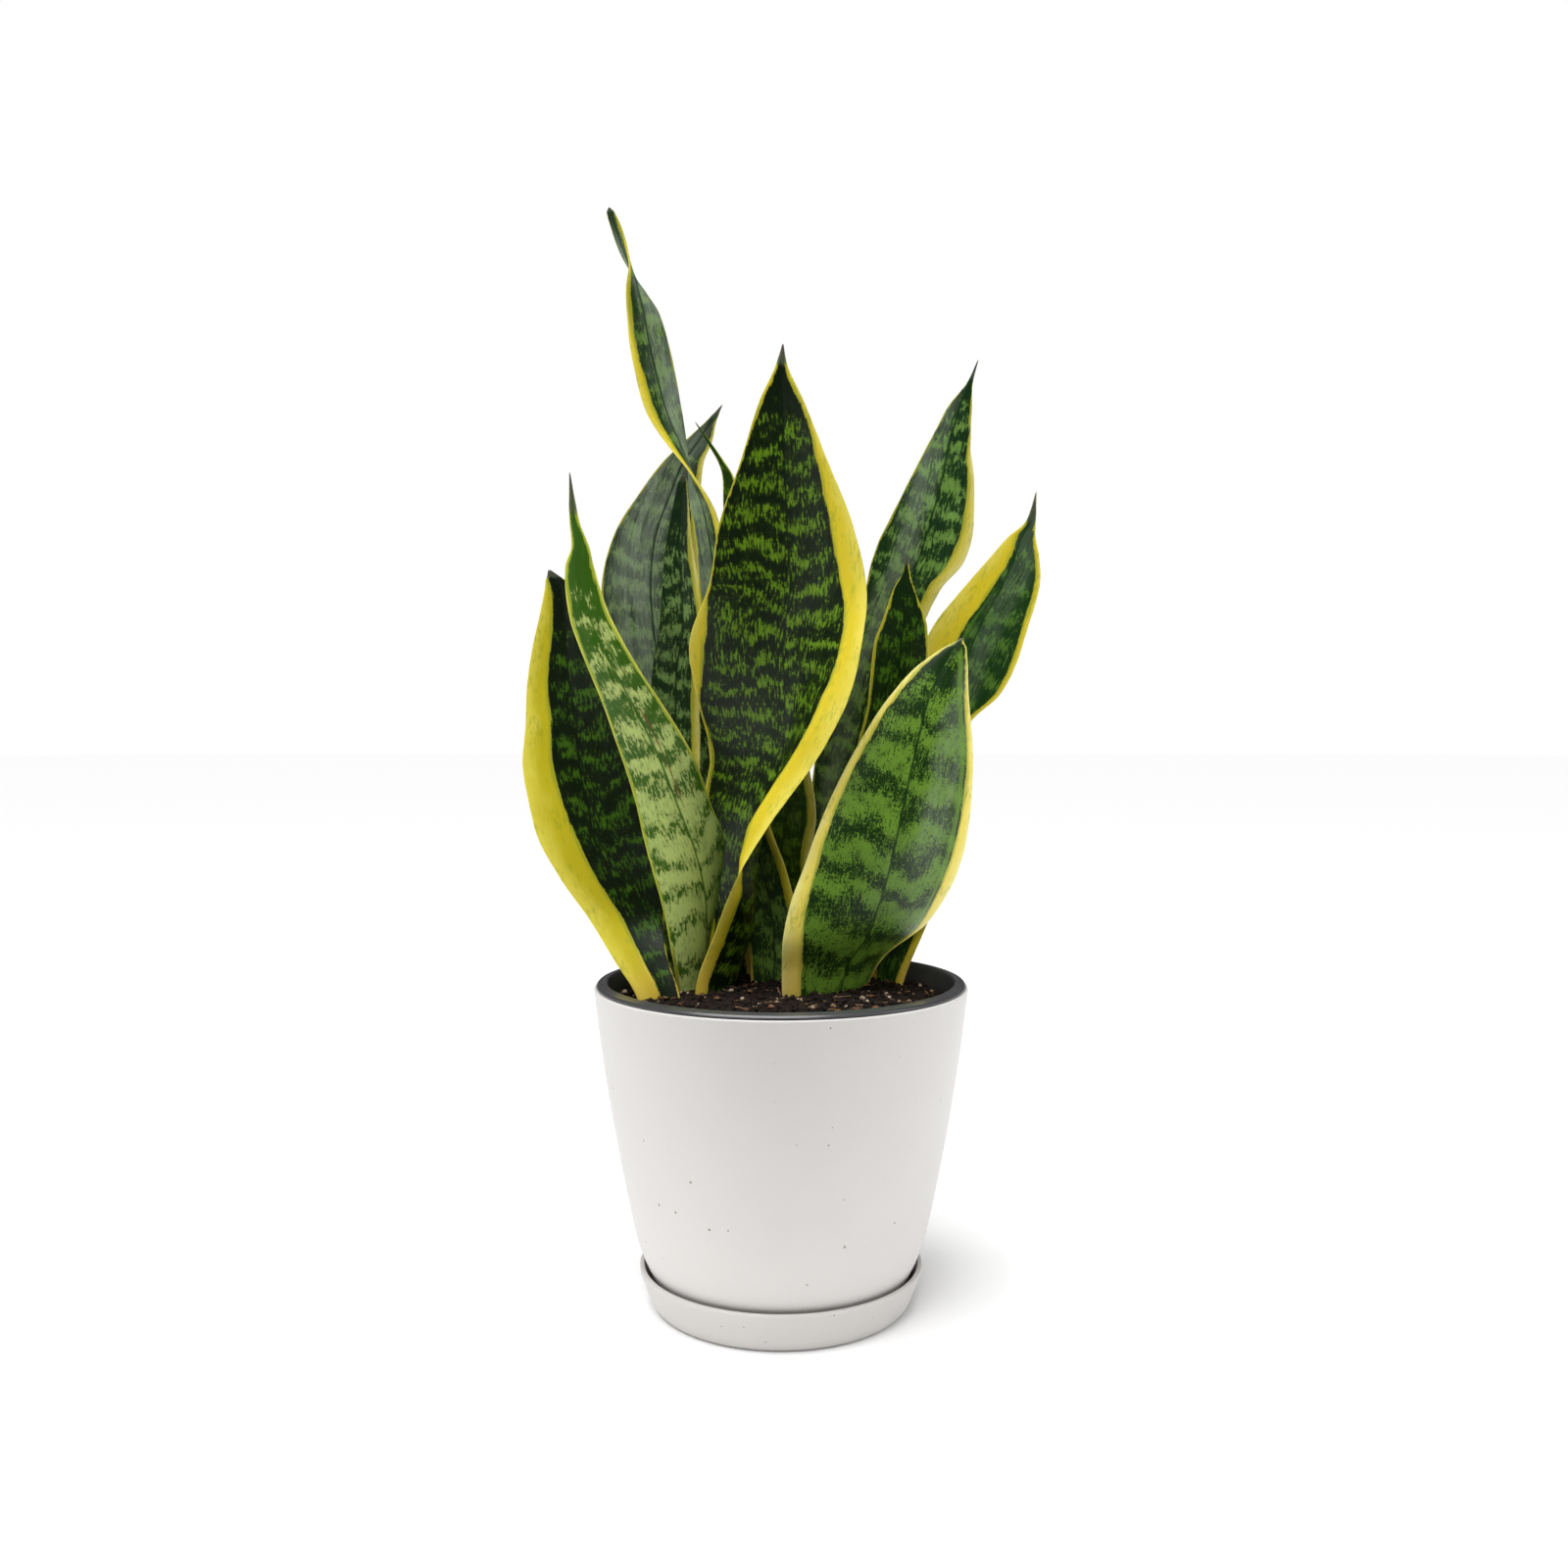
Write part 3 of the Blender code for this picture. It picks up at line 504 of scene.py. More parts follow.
def buildLeaf(name, shape, material, seed):
    # a round bar, cut into steps, then laid out as a bent blade; each point keeps its place
    # across and along the blade, and its distance from the yellow edge and the tip
    stations, runs = layOut(shape)
    last = len(stations) - 1
    bm = bmesh.new()
    bmesh.ops.create_cone(bm, cap_ends=True, segments=leafShape["sides"], radius1=1, radius2=1,
                          depth=1)
    upright = [e for e in bm.edges if abs(e.verts[0].co.z - e.verts[1].co.z) > 0.5]
    bmesh.ops.subdivide_edges(bm, edges=upright, cuts=last - 1, use_grid_fill=True)
    skin = bm.verts.layers.float_vector.new("skin")
    edges = bm.verts.layers.float_vector.new("edges")
    heights, lefts, rights = zip(*shape["margins"])

    for vert in bm.verts:
        turn = atan2(vert.co.y, vert.co.x)
        across, behind = cos(turn), sin(turn)
        step = round(min(max(vert.co.z + 0.5, 0.0), 1.0) * last)
        x, y, z, width, facing, bend, thickness = stations[step]
        toTip = min((last - step) / leafShape["tipSteps"], 1.0) ** leafShape["tipCurve"]
        closing = leafShape["tipClosed"] + (1 - leafShape["tipClosed"]) * toTip
        width, thickness, run = width * closing, thickness * closing, runs[step]
        low, high = stations[max(step - 1, 0)], stations[min(step + 1, last)]
        rise = Vector((high - low)[:3]).normalized()
        side = Vector((cos(radians(facing)), sin(radians(facing)), 0.0))
        front = Vector((side.y, -side.x, 0.0))
        arc = radians(bend) if abs(bend) > 1 else radians(1)
        radius = width / arc

        drift, wave, free = edgeWave(run, z, width, across, seed)
        stretch = 1 + 2 * drift * abs(across) / max(width, leafShape["driftWidth"])
        angle = across * arc / 2 * stretch
        point = Vector((x, y, z)) + side * radius * sin(angle) + front * radius * (1 - cos(angle))
        along = across * width / 2
        if "flares" in shape:
            point += flareShift(shape, z, along, width, radius, side, front)
        outward = side * sin(angle) - front * cos(angle)
        fold = leafShape["crease"] * free * np.exp(-(along / leafShape["creaseWidth"]) ** 2)
        vert.co = (point + outward * (behind * thickness / 2 + wave + fold)) * mm
        vert.co.z += soilTop

        left, right = (np.interp(z, heights, widths) for widths in (lefts, rights))
        even = abs(left - right) < 0.1
        margin = (left + right) / 2 if even else (left if along < 0 else right)
        inside = min(along + width / 2 - left, width / 2 - along - right)
        vert[skin] = (along, run + along * side.dot(rise), seed * 10.0)
        vert[edges] = (inside, margin, runs[-1] - run)
    bmesh.ops.recalc_face_normals(bm, faces=bm.faces)
    slot = "leaf_pale" if shape["look"] == "pale" else "leaf"
    return toMesh(name, bm, [material], [shape["node"]])


# the leaves' finish
# dark and light are the ground and the bands, bands how much of the blade they cover, spacing
# their distance in mm, regular how evenly they run, grain how much dark grain lies in them,
# plain how far from the tip they fade out, growing how much more of it they cover towards the
# base, and edge the yellow edge's colours.
leafLooks = {
    "deep": {
        "dark": (0.003, 0.011, 0.0015), "light": (0.120, 0.235, 0.009), "bands": -0.20,
        "spacing": 12.5, "regular": 0.30, "grain": 0.16, "plain": (12, 40), "edge": "gold"},
    "shaded": {
        "dark": (0.003, 0.009, 0.001), "light": (0.042, 0.110, 0.004), "bands": -0.24,
        "spacing": 13.0, "regular": 0.34, "grain": 0.30, "plain": (10, 40), "edge": "mustard"},
    "pale": {
        "dark": (0.040, 0.125, 0.006), "light": (0.440, 0.550, 0.160), "bands": -0.08,
        "growing": 0.55, "spacing": 17.0, "regular": 0.42, "grain": 0.10, "plain": (36, 64),
        "edge": "lime"},
    "greyed": {
        "dark": (0.010, 0.032, 0.009), "light": (0.165, 0.275, 0.080), "bands": -0.05,
        "spacing": 11.0, "regular": 0.40, "grain": 0.35, "plain": (8, 40), "edge": "cream"},
    "tall": {
        "dark": (0.014, 0.042, 0.010), "light": (0.120, 0.225, 0.035), "bands": 0.05,
        "spacing": 18.0, "regular": 0.34, "grain": 0.25, "plain": (2, 12), "edge": "gold"},
    "olive": {
        "dark": (0.016, 0.055, 0.003), "light": (0.085, 0.175, 0.010), "bands": 0.0,
        "spacing": 12.0, "regular": 0.34, "grain": 0.30, "plain": (4, 20), "edge": "cream"},
    "lit": {
        "dark": (0.007, 0.030, 0.003), "light": (0.120, 0.235, 0.024), "bands": 0.16,
        "spacing": 19.5, "regular": 0.60, "grain": 1.0, "plain": (8, 48), "edge": "ivory"},
    "sheeny": {
        "dark": (0.008, 0.036, 0.008), "light": (0.150, 0.290, 0.055), "bands": -0.02,
        "spacing": 12.0, "regular": 0.36, "grain": 0.25, "plain": (10, 34), "edge": "cream"},
    "rich": {
        "dark": (0.008, 0.042, 0.005), "light": (0.070, 0.165, 0.022), "bands": -0.10,
        "spacing": 14.0, "regular": 0.34, "grain": 0.25, "plain": (14, 36), "edge": "gold"},
    "night": {
        "dark": (0.004, 0.020, 0.0015), "light": (0.060, 0.150, 0.006), "bands": -0.14,
        "spacing": 13.0, "regular": 0.34, "grain": 0.25, "plain": (8, 30), "edge": "gold"},
}
edgeColours = {   # inner and outer colour of a yellow edge
    "ivory": ((0.95, 0.79, 0.13), (0.95, 0.87, 0.28)),
    "gold": ((0.78, 0.62, 0.022), (0.86, 0.74, 0.10)),
    "cream": ((0.70, 0.60, 0.06), (0.82, 0.74, 0.24)),
    "mustard": ((0.60, 0.51, 0.012), (0.82, 0.72, 0.08)),
    "lime": ((0.52, 0.60, 0.04), (0.78, 0.76, 0.14)),
}
markColours = {
    # the first colour is the grey of the painted sheen highlight
    "paintedSheen": (0.40, 0.47, 0.37), "scar": (0.16, 0.075, 0.025), "streaks": (0.26, 0.33, 0.025),
    "base": (0.66, 0.40, 0.07), "freckle": (0.12, 0.10, 0.02), "driedTip": (0.10, 0.085, 0.075),
    "driedFoot": (0.08, 0.105, 0.055),
}
fibreNoise = {   # width and length of a fleck in mm, detail, roughness, and its own noise layer
    "drift": (24.0, 36.0, 1.5, 0.55, 0.0), "jag": (1.2, 9.0, 2.0, 0.6, 2.0),
    "blobs": (6.5, 4.8, 3.0, 0.6, 3.0), "teeth": (0.95, 4.2, 2.5, 0.6, 6.0),
    "fleck": (0.42, 1.1, 1.0, 0.5, 9.0), "tone": (9.0, 14.0, 2.0, 0.5, 12.0),
    "shade": (0.5, 7.0, 3.0, 0.6, 15.0), "tatter": (2.2, 22.0, 2.0, 0.5, 18.0),
    "mottle": (1.3, 4.5, 3.0, 0.65, 21.0), "patches": (9.0, 22.0, 1.0, 0.5, 22.0),
    "freckle": (0.55, 0.7, 1.0, 0.5, 23.0), "ridges": (0.30, 30.0, 2.0, 0.6, 24.0),
    "veins": (1.8, 60.0, 1.0, 0.5, 27.0), "pores": (0.25, 0.4, 1.0, 0.5, 30.0),
    # the last noise streaks the painted sheen highlight
    "sheenStreaks": (1.4, 70.0, 2.0, 0.6, 33.0),
}
# Weights are how strongly a noise counts; a span is where a soft step starts and ends, in mm
# where it measures the blade; a share is how much of a colour is laid on.
bandLook = {
    "slant": 0.12, "jag": 9.0, "drift": 2.0, "halves": 0.35, "halvesSpan": (-1.0, 1.0),
    "blobs": 2.3, "teeth": 3.2, "fleck": 4, "tip": 0.85, "rim": 0.30, "rimSpan": (0.5, 4.5),
    "growSpan": (60.0, 200.0), "cut": (-0.02, 0.03),
}
greenLook = {
    "shade": 0.8, "halfway": 0.15, "haloSpan": (-0.75, 0.0), "haloShare": 0.7,
    "litSpan": (0.0, 0.7), "litTones": (0.80, 1.25), "duskSpan": (0.0, 0.35), "duskShare": 0.45,
    "midribSpan": (0.2, 0.75), "midribJag": 0.5, "midribShare": 0.85,
}
# where the painted sheen highlight lies on a blade and how it breaks into streaks
paintedSheenLook = {
    "tone": 12.0, "core": 0.2, "sheenStreakTone": 0.6, "sheenStreakSpan": (-0.45, 0.20),
    "tipSpan": (4.0, 16.0), "baseSpan": (60.0, 110.0),
}
laneLook = {
    "sideSpan": (2.0, 4.0), "insideSpan": (0.9, 1.3), "teeth": 2.0, "fade": 1.2, "tone": 1.5,
    "share": 0.55,
}
scarLook = {"jag": 3.0, "span": (0.15, 0.75), "fade": 8, "share": 0.85}
edgeLook = {
    "teeth": 1.1, "fleck": 0.7, "tatter": 2.6, "cut": (-0.35, 0.20),
    "narrow": 0.6, "deepTeeth": 0.3, "deepTone": 0.8, "deepSpan": (0.30, 1.0),
    "streakRag": 1.3, "streakSpan": (0.0, 2.2), "streakShare": 0.6,
    "patches": 0.7, "mottleSpan": (0.04, 0.24), "mottleShare": 0.40,
    "baseSpan": (20.0, 44.0), "baseShare": 0.5, "freckleSpan": (0.24, 0.30), "freckleShare": 0.6,
}
tipLook = {"shade": 4.0, "span": (0.8, 1.1), "share": 0.85}
surfaceLook = {
    "ridges": 0.6, "pores": 0.25, "bands": 0.08, "bump": 0.00012, "bumpStrength": 0.6,
    "rough": 0.37, "roughTone": 0.18, "roughPores": 0.10, "roughEdge": 0.10,
}


def leafSkin(name, look, shape):
    net = Net(name, Specular_IOR_Level=0.30)
    across, along, seed = net.attribute("skin")
    inside, marginWidth, fromTip = net.attribute("edges")

    # a noise stretched along the blade, the way its fibres run
    def fibres(kind):
        wide, tall, detail, rough, layer = fibreNoise[kind]
        spot = net.place(across / wide, along / tall, seed + layer)
        return net.grain(spot, 1.0, detail, rough) - 0.5

    drift, jag, blobs, teeth, fleck, tone, shade, pores = (fibres(kind) for kind in (
        "drift", "jag", "blobs", "teeth", "fleck", "tone", "shade", "pores"))

    # where the bands lie: above nought is band, below is ground
    halves = net.steps(across, *bandLook["halvesSpan"]) * bandLook["halves"]
    cycle = ((along - abs(across) * bandLook["slant"] + jag * bandLook["jag"]) / look["spacing"]
             + drift * bandLook["drift"] + halves)
    wave = (cycle * (2 * pi)).sine()
    tipPlain = 1 - net.steps(fromTip, *look["plain"])
    rimDark = 1 - net.steps(inside, *bandLook["rimSpan"])
    growing = net.steps(fromTip, *bandLook["growSpan"]) * look.get("growing", 0.0)
    score = (wave * look["regular"] + blobs * bandLook["blobs"] + teeth * bandLook["teeth"]
             + fleck * look["grain"] * bandLook["fleck"] + look["bands"])
    score = score - tipPlain * bandLook["tip"] - rimDark * bandLook["rim"] + growing
    band = net.steps(score, *bandLook["cut"])

    # the greens
    ground, patch = look["dark"], look["light"]
    half = greenLook["halfway"]
    halfway = tuple(g * (1 - half) + p * half for g, p in zip(ground, patch))
    halo = net.steps(score, *greenLook["haloSpan"]) * greenLook["haloShare"]
    streak = shade * greenLook["shade"]
    lit = net.mix(net.steps(score + streak, *greenLook["litSpan"]),
                  *(toned(patch, share) for share in greenLook["litTones"]))
    green = net.mix(band, net.mix(halo, ground, halfway), lit)
    # painted sheen: a grey highlight laid into the blade's colour, in streaks along it
    if "paintedSheen" in shape:
        middle, reach, strength = shape["paintedSheen"]
        off = abs(across + tone * paintedSheenLook["tone"] - middle)
        sheenStreaks = fibres("sheenStreaks") + tone * paintedSheenLook["sheenStreakTone"]
        sheenMask = 1 - net.steps(off, reach * paintedSheenLook["core"], reach)
        sheenMask = sheenMask * net.steps(sheenStreaks, *paintedSheenLook["sheenStreakSpan"]) * strength
        sheenMask = sheenMask * net.steps(fromTip, *paintedSheenLook["tipSpan"])
        sheenMask = sheenMask * net.steps(along, *paintedSheenLook["baseSpan"])
        green = net.mix(sheenMask, green, markColours["paintedSheen"])
    dusk = net.steps(tone + streak, *greenLook["duskSpan"])
    green = net.mix(dusk * greenLook["duskShare"], green, ground)
    midrib = 1 - net.steps(abs(across + jag * greenLook["midribJag"]), *greenLook["midribSpan"])
    green = net.mix(midrib * greenLook["midribShare"], green, ground)
    if "lane" in shape:
        way, width = shape["lane"]
        onSide = net.steps(across * way, *laneLook["sideSpan"])
        onSide = onSide * net.steps(inside, *laneLook["insideSpan"])
        outer = net.steps(inside + teeth * laneLook["teeth"], width, width + laneLook["fade"])
        strip = onSide * (1 - outer) * laneLook["share"]
        green = net.mix(strip, green, toned(patch, laneLook["tone"]))
    if "scar" in shape:
        start, end, offset = shape["scar"]
        fade = scarLook["fade"]
        line = 1 - net.steps(abs(across + jag * scarLook["jag"] - offset), *scarLook["span"])
        line = line * net.steps(along, start, start + fade)
        line = line * (1 - net.steps(along, end - fade, end)) * scarLook["share"]
        green = net.mix(line, green, markColours["scar"])

    # the yellow edge: paler outside, gold within, breaking into green streaks at its inner side
    inner, outer = edgeColours[look["edge"]]
    rag = (teeth * edgeLook["teeth"] + fleck * edgeLook["fleck"]
           + fibres("tatter") * edgeLook["tatter"])
    yellow = 1 - net.steps(inside + rag, *edgeLook["cut"])
    deep = ((0 - inside) / marginWidth.most(edgeLook["narrow"]) + teeth * edgeLook["deepTeeth"]
            + tone * edgeLook["deepTone"])
    gold = net.mix(net.steps(deep, *edgeLook["deepSpan"]), inner, outer)
    streaks = 1 - net.steps(0 - inside + rag * edgeLook["streakRag"], *edgeLook["streakSpan"])
    gold = net.mix(streaks * edgeLook["streakShare"], gold, markColours["streaks"])
    mottle = net.steps(fibres("mottle") + fibres("patches") * edgeLook["patches"],
                       *edgeLook["mottleSpan"])
    gold = net.mix(mottle * edgeLook["mottleShare"], gold, markColours["streaks"])
    base = 1 - net.steps(along, *edgeLook["baseSpan"])
    gold = net.mix(base * edgeLook["baseShare"], gold, markColours["base"])
    freckle = net.steps(fibres("freckle"), *edgeLook["freckleSpan"])
    gold = net.mix(freckle * edgeLook["freckleShare"], gold, markColours["freckle"])
    skinColour = net.mix(yellow, green, gold)

    # the dried spike at the tip
    length = shape["spike"]
    spike = 1 - net.steps(fromTip + shade * tipLook["shade"],
                          *(length * share for share in tipLook["span"]))
    dried = net.mix(net.steps(fromTip, 0.0, length), markColours["driedTip"],
                    markColours["driedFoot"])
    skinColour = net.mix(spike * tipLook["share"], skinColour, dried)

    height = ((fibres("ridges") + fibres("veins")) * surfaceLook["ridges"]
              + pores * surfaceLook["pores"] + band * surfaceLook["bands"])
    rough = (surfaceLook["rough"] + tone * surfaceLook["roughTone"]
             + pores * surfaceLook["roughPores"] + yellow * surfaceLook["roughEdge"])
    return net.feed(Base_Color=skinColour, Roughness=rough,
                    Normal=net.bump(height, surfaceLook["bump"], surfaceLook["bumpStrength"]))


for number, (name, shape) in enumerate(leaves.items()):
    skinMaterial = leafSkin(name + "Skin", leafLooks[shape["look"]], shape)
    buildLeaf(name, shape, skinMaterial, number + 1)
print("leaves built:", len(leaves))


# white pot and saucer
glazeLook = {   # scales per metre, spans of soft steps, shares and colours
    "cloudScale": 14.0, "fineScale": 900.0, "patchScale": 22.0, "patchSpan": (0.45, 0.62),
    "toneSpan": (-0.3, 0.3), "fineTone": 0.4, "tone": 0.965,
    "pitWidth": 0.045, "pitSpan": (0.018, 0.05), "pitPatch": 0.05, "pitEdge": 0.01,
    "pitColour": (0.16, 0.13, 0.10), "pitShare": 0.85,
    "rough": 0.42, "roughCloud": 0.10, "roughFine": 0.06, "roughPit": 0.3,
    "fineBump": 0.15, "cloudBump": 0.5, "pitBump": 2.0, "bump": 0.00025, "bumpStrength": 0.35,
}


def stonyWhite(name, tint, specks, scale):
    # a satin glaze with small dark pits; specks is how many of the cells hold one
    net = Net(name, Specular_IOR_Level=0.4, Coat_Weight=0.10, Coat_Roughness=0.3)
    where = net.objectPlace()
    cloud = net.grain(where, glazeLook["cloudScale"], 3.0, 0.55) - 0.5
    fine = net.grain(where, glazeLook["fineScale"], 2.0, 0.6) - 0.5
    patch = net.steps(net.grain(where, glazeLook["patchScale"], 1.0, 0.5),
                      *glazeLook["patchSpan"])
    fromPit = net.cells(where, scale, "Distance")
    pick, size = (net.node("SeparateColor", None, {"Color": net.cells(where, scale, "Color")}, out)
                  for out in (0, 1))
    hollow = 1 - net.steps(fromPit - size * glazeLook["pitWidth"], *glazeLook["pitSpan"])
    chosen = net.steps(pick + patch * glazeLook["pitPatch"],
                       1 - specks, 1 + glazeLook["pitEdge"] - specks)
    pit = hollow * chosen
    base = net.mix(net.steps(cloud + fine * glazeLook["fineTone"], *glazeLook["toneSpan"]),
                   tint, toned(tint, glazeLook["tone"]))
    shown = net.mix(pit * glazeLook["pitShare"], base, glazeLook["pitColour"])
    rough = (glazeLook["rough"] + cloud * glazeLook["roughCloud"] + fine * glazeLook["roughFine"]
             + pit * glazeLook["roughPit"])
    height = (fine * glazeLook["fineBump"] + cloud * glazeLook["cloudBump"]
              - pit * glazeLook["pitBump"])
    return net.feed(Base_Color=shown, Roughness=rough,
                    Normal=net.bump(height, glazeLook["bump"], glazeLook["bumpStrength"]))


pot = {   # lengths in mm
    "wall": 3.4, "floor": 3.0, "taper": 16.8, "shoulder": 31.0, "curl": 14.0, "bulge": 1.5,
    "lip": 1.1, "lipDrop": 2.0, "footEdge": 1.4, "footRise": 1.5,
    "steps": 192, "innerRings": 28, "outerRings": 44, "crowding": 1.4, "cornerSteps": 5,
    "holeRadius": 5.0, "holeRing": 24.0, "holeCount": 4, "holeSides": 40,
    "tint": (0.66, 0.64, 0.62), "specks": 0.45, "speckScale": 150.0,
}
potLow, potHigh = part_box("outer_pot")
linerLow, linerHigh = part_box("inner_pot")
saucerLow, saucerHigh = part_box("saucer")
potRadius = potHigh.x
potBase, potRim = potLow.z, potHigh.z


def wallRadius(level, inset=0.0):
    # the white pot's outside radius at a level, less an inset
    height, total = level - potBase, potRim - potBase
    shoulder = potRadius - pot["taper"] * mm
    bend = pot["shoulder"] * mm
    if height >= bend:
        rise = (height - bend) / (total - bend)
        bulge = 4 * pot["bulge"] * mm * rise * (1 - rise)
        return shoulder + pot["taper"] * mm * rise + bulge - inset
    curl = (bend - height) / bend
    return shoulder - pot["curl"] * mm * (curl + curl ** 2) / 2 - inset


def wallLine(low, high, count, inset=0.0):
    # points up the wall, closer together towards the curled foot
    levels = [low + (high - low) * (step / count) ** pot["crowding"]
              for step in range(count + 1)]
    return [(wallRadius(level, inset), level) for level in levels]


def drillHoles(bm, shape, low, high):
    # round drainage holes from 1 mm under a floor to 1 mm over it, cut by a Boolean that is
    # applied at once
    low, high = low - 1 * mm, high + 1 * mm
    radius, ring = shape["holeRadius"] * mm, shape["holeRing"] * mm
    target = bpy.data.objects.new("drilled", bpy.data.meshes.new("drilled"))
    bm.to_mesh(target.data)
    bm.clear()
    for index in range(shape["holeCount"]):
        turn = 2 * pi * index / shape["holeCount"]
        peg = bmesh.ops.create_cone(bm, cap_ends=True, segments=pot["holeSides"], radius1=radius,
                                    radius2=radius, depth=high - low)["verts"]
        bmesh.ops.translate(bm, verts=peg,
                            vec=(ring * cos(turn), ring * sin(turn), (low + high) / 2))
    pegs = bpy.data.objects.new("pegs", bpy.data.meshes.new("pegs"))
    bm.to_mesh(pegs.data)
    bm.clear()
    for made in (target, pegs):
        scene.collection.objects.link(made)
    cut = target.modifiers.new("holes", "BOOLEAN")
    cut.object = pegs
    bpy.context.view_layer.update()
    cutTarget = target.evaluated_get(bpy.context.evaluated_depsgraph_get())
    bm.from_mesh(bpy.data.meshes.new_from_object(cutTarget))
    bmesh.ops.dissolve_degenerate(bm, dist=sameSpot, edges=bm.edges)
    for made in (target, pegs):
        bpy.data.objects.remove(made)


wall, lip = pot["wall"] * mm, pot["lip"] * mm
underLip = potRim - pot["lipDrop"] * mm
insideBase = potBase + pot["floor"] * mm
profile = [(0.0, insideBase)] + wallLine(insideBase, underLip, pot["innerRings"], wall)
profile += rounded([profile[-1], (potRadius - wall, potRim), (potRadius, potRim),
                    (wallRadius(underLip), underLip)], lip, pot["cornerSteps"])[1:-1]
profile += reversed(wallLine(potBase + pot["footRise"] * mm, underLip, pot["outerRings"]))
profile += rounded([profile[-1], (wallRadius(potBase), potBase), (0.0, potBase)],
                   pot["footEdge"] * mm, pot["cornerSteps"])[1:]
bm = bmesh.new()
spinProfile(bm, profile, pot["steps"])
drillHoles(bm, pot, potBase, insideBase)
whitePot = stonyWhite("whitePotGlaze", pot["tint"], pot["specks"], pot["speckScale"])
whitePotPiece = toMesh("whitePot", bm, [whitePot], ["outer_pot"])
whitePotPiece.data.set_sharp_from_angle(angle=sharpFrom)

saucer = {   # lengths in mm; shares are of the corner
    "wall": 2.0, "flare": 7.0, "floor": 2.6, "corner": 5.0,
    "innerCorner": 0.6, "outerCorner": 0.5, "outerRise": 0.6, "footCorner": 0.05,
    "innerArc": 4.0, "lipArc": 0.9, "outerArc": 3.0, "arcSteps": 8, "lipSteps": 6,
    "ribs": 8, "ribHeight": 6.0, "ribThickness": 1.6, "ribDrop": 0.6, "ribTurn": 0.35,
    "ribSpace": 0.3, "ribCorner": 0.2,
    "tint": (0.575, 0.555, 0.535), "specks": 0.75, "speckScale": 230.0,
}
saucerRim = saucerHigh.x
saucerFoot = saucerRim - saucer["flare"] * mm
saucerTop = saucerHigh.z
corner, edge = saucer["corner"] * mm, saucer["wall"] * mm
saucerFloor = saucer["floor"] * mm
inner = rounded([(0.0, saucerFloor),
                 (saucerFoot - saucer["innerCorner"] * corner, saucerFloor),
                 (saucerRim - edge, saucerTop - edge / 2)],
                saucer["innerArc"] * mm, saucer["arcSteps"])
upper = rounded([inner[-1], (saucerRim - edge, saucerTop), (saucerRim, saucerTop),
                 (saucerRim, saucerTop - edge)],
                saucer["lipArc"] * mm, saucer["lipSteps"])[1:-1]
outer = rounded([(saucerRim, saucerTop - edge),
                 (saucerFoot + saucer["outerCorner"] * corner, saucer["outerRise"] * corner),
                 (saucerFoot + saucer["footCorner"] * corner, 0.0), (0.0, 0.0)],
                saucer["outerArc"] * mm, saucer["arcSteps"])
bm = bmesh.new()
spinProfile(bm, inner + upper + outer, pot["steps"])

# ribs that keep the pot in the middle, sloped down towards it
ribLow, ribHigh = saucerFloor / 2, saucerFloor + saucer["ribHeight"] * mm
ribInner = wallRadius(ribHigh) + saucer["ribSpace"] * mm
ribOuter = saucerFoot + saucer["ribCorner"] * corner
middle = Vector(((ribInner + ribOuter) / 2, 0.0, (ribLow + ribHigh) / 2))
for index in range(saucer["ribs"]):
    rib = bmesh.ops.create_cube(bm, size=1.0)["verts"]
    bmesh.ops.scale(bm, verts=rib,
                    vec=(ribOuter - ribInner, saucer["ribThickness"] * mm, ribHigh - ribLow))
    bmesh.ops.translate(bm, verts=rib, vec=middle)
    sloped = [v for v in rib if v.co.z > middle.z and v.co.x < middle.x]
    bmesh.ops.translate(bm, verts=sloped, vec=(0, 0, saucer["ribDrop"] * (ribLow - ribHigh)))
    turn = 2 * pi * (index + saucer["ribTurn"]) / saucer["ribs"]
    bmesh.ops.rotate(bm, verts=rib, cent=(0, 0, 0), matrix=Matrix.Rotation(turn, 3, "Z"))
whiteSaucer = stonyWhite("whiteSaucerGlaze", saucer["tint"], saucer["specks"],
                         saucer["speckScale"])
saucerPiece = toMesh("whiteSaucer", bm, [whiteSaucer], ["saucer"])
saucerPiece.data.set_sharp_from_angle(angle=sharpFrom)
print("white pot and saucer built")


# grey liner
liner = {   # lengths in mm; the flange is a narrow raised bead inside a lower shelf
    "wall": 1.2, "space": 1.4, "flange": 1.9, "rings": 24,
    "beadStart": 0.35, "beadTop": 1.7, "beadEnd": 2.3, "beadDrop": 0.35,
    "shelfEdge": 0.9, "shelfDrop": 0.45, "rimRise": 0.5, "rimTuck": 0.2, "arc": 0.45,
    "arcSteps": 4, "holeRadius": 4.0, "holeRing": 30.0, "holeCount": 6,
}
plasticLook = {   # scales per metre, spans of soft steps, shares and colours
    "cloudScale": 30.0, "fineScale": 1500.0, "dustScale": 420.0, "dustSpan": (0.62, 0.74),
    "dark": (0.038, 0.039, 0.042), "light": (0.060, 0.061, 0.064),
    "dust": (0.10, 0.07, 0.05), "dustShare": 0.35,
    "rough": 0.30, "roughCloud": 0.15, "roughDust": 0.3,
    "fineBump": 0.2, "cloudBump": 0.4, "bump": 0.0002, "bumpStrength": 0.3,
}


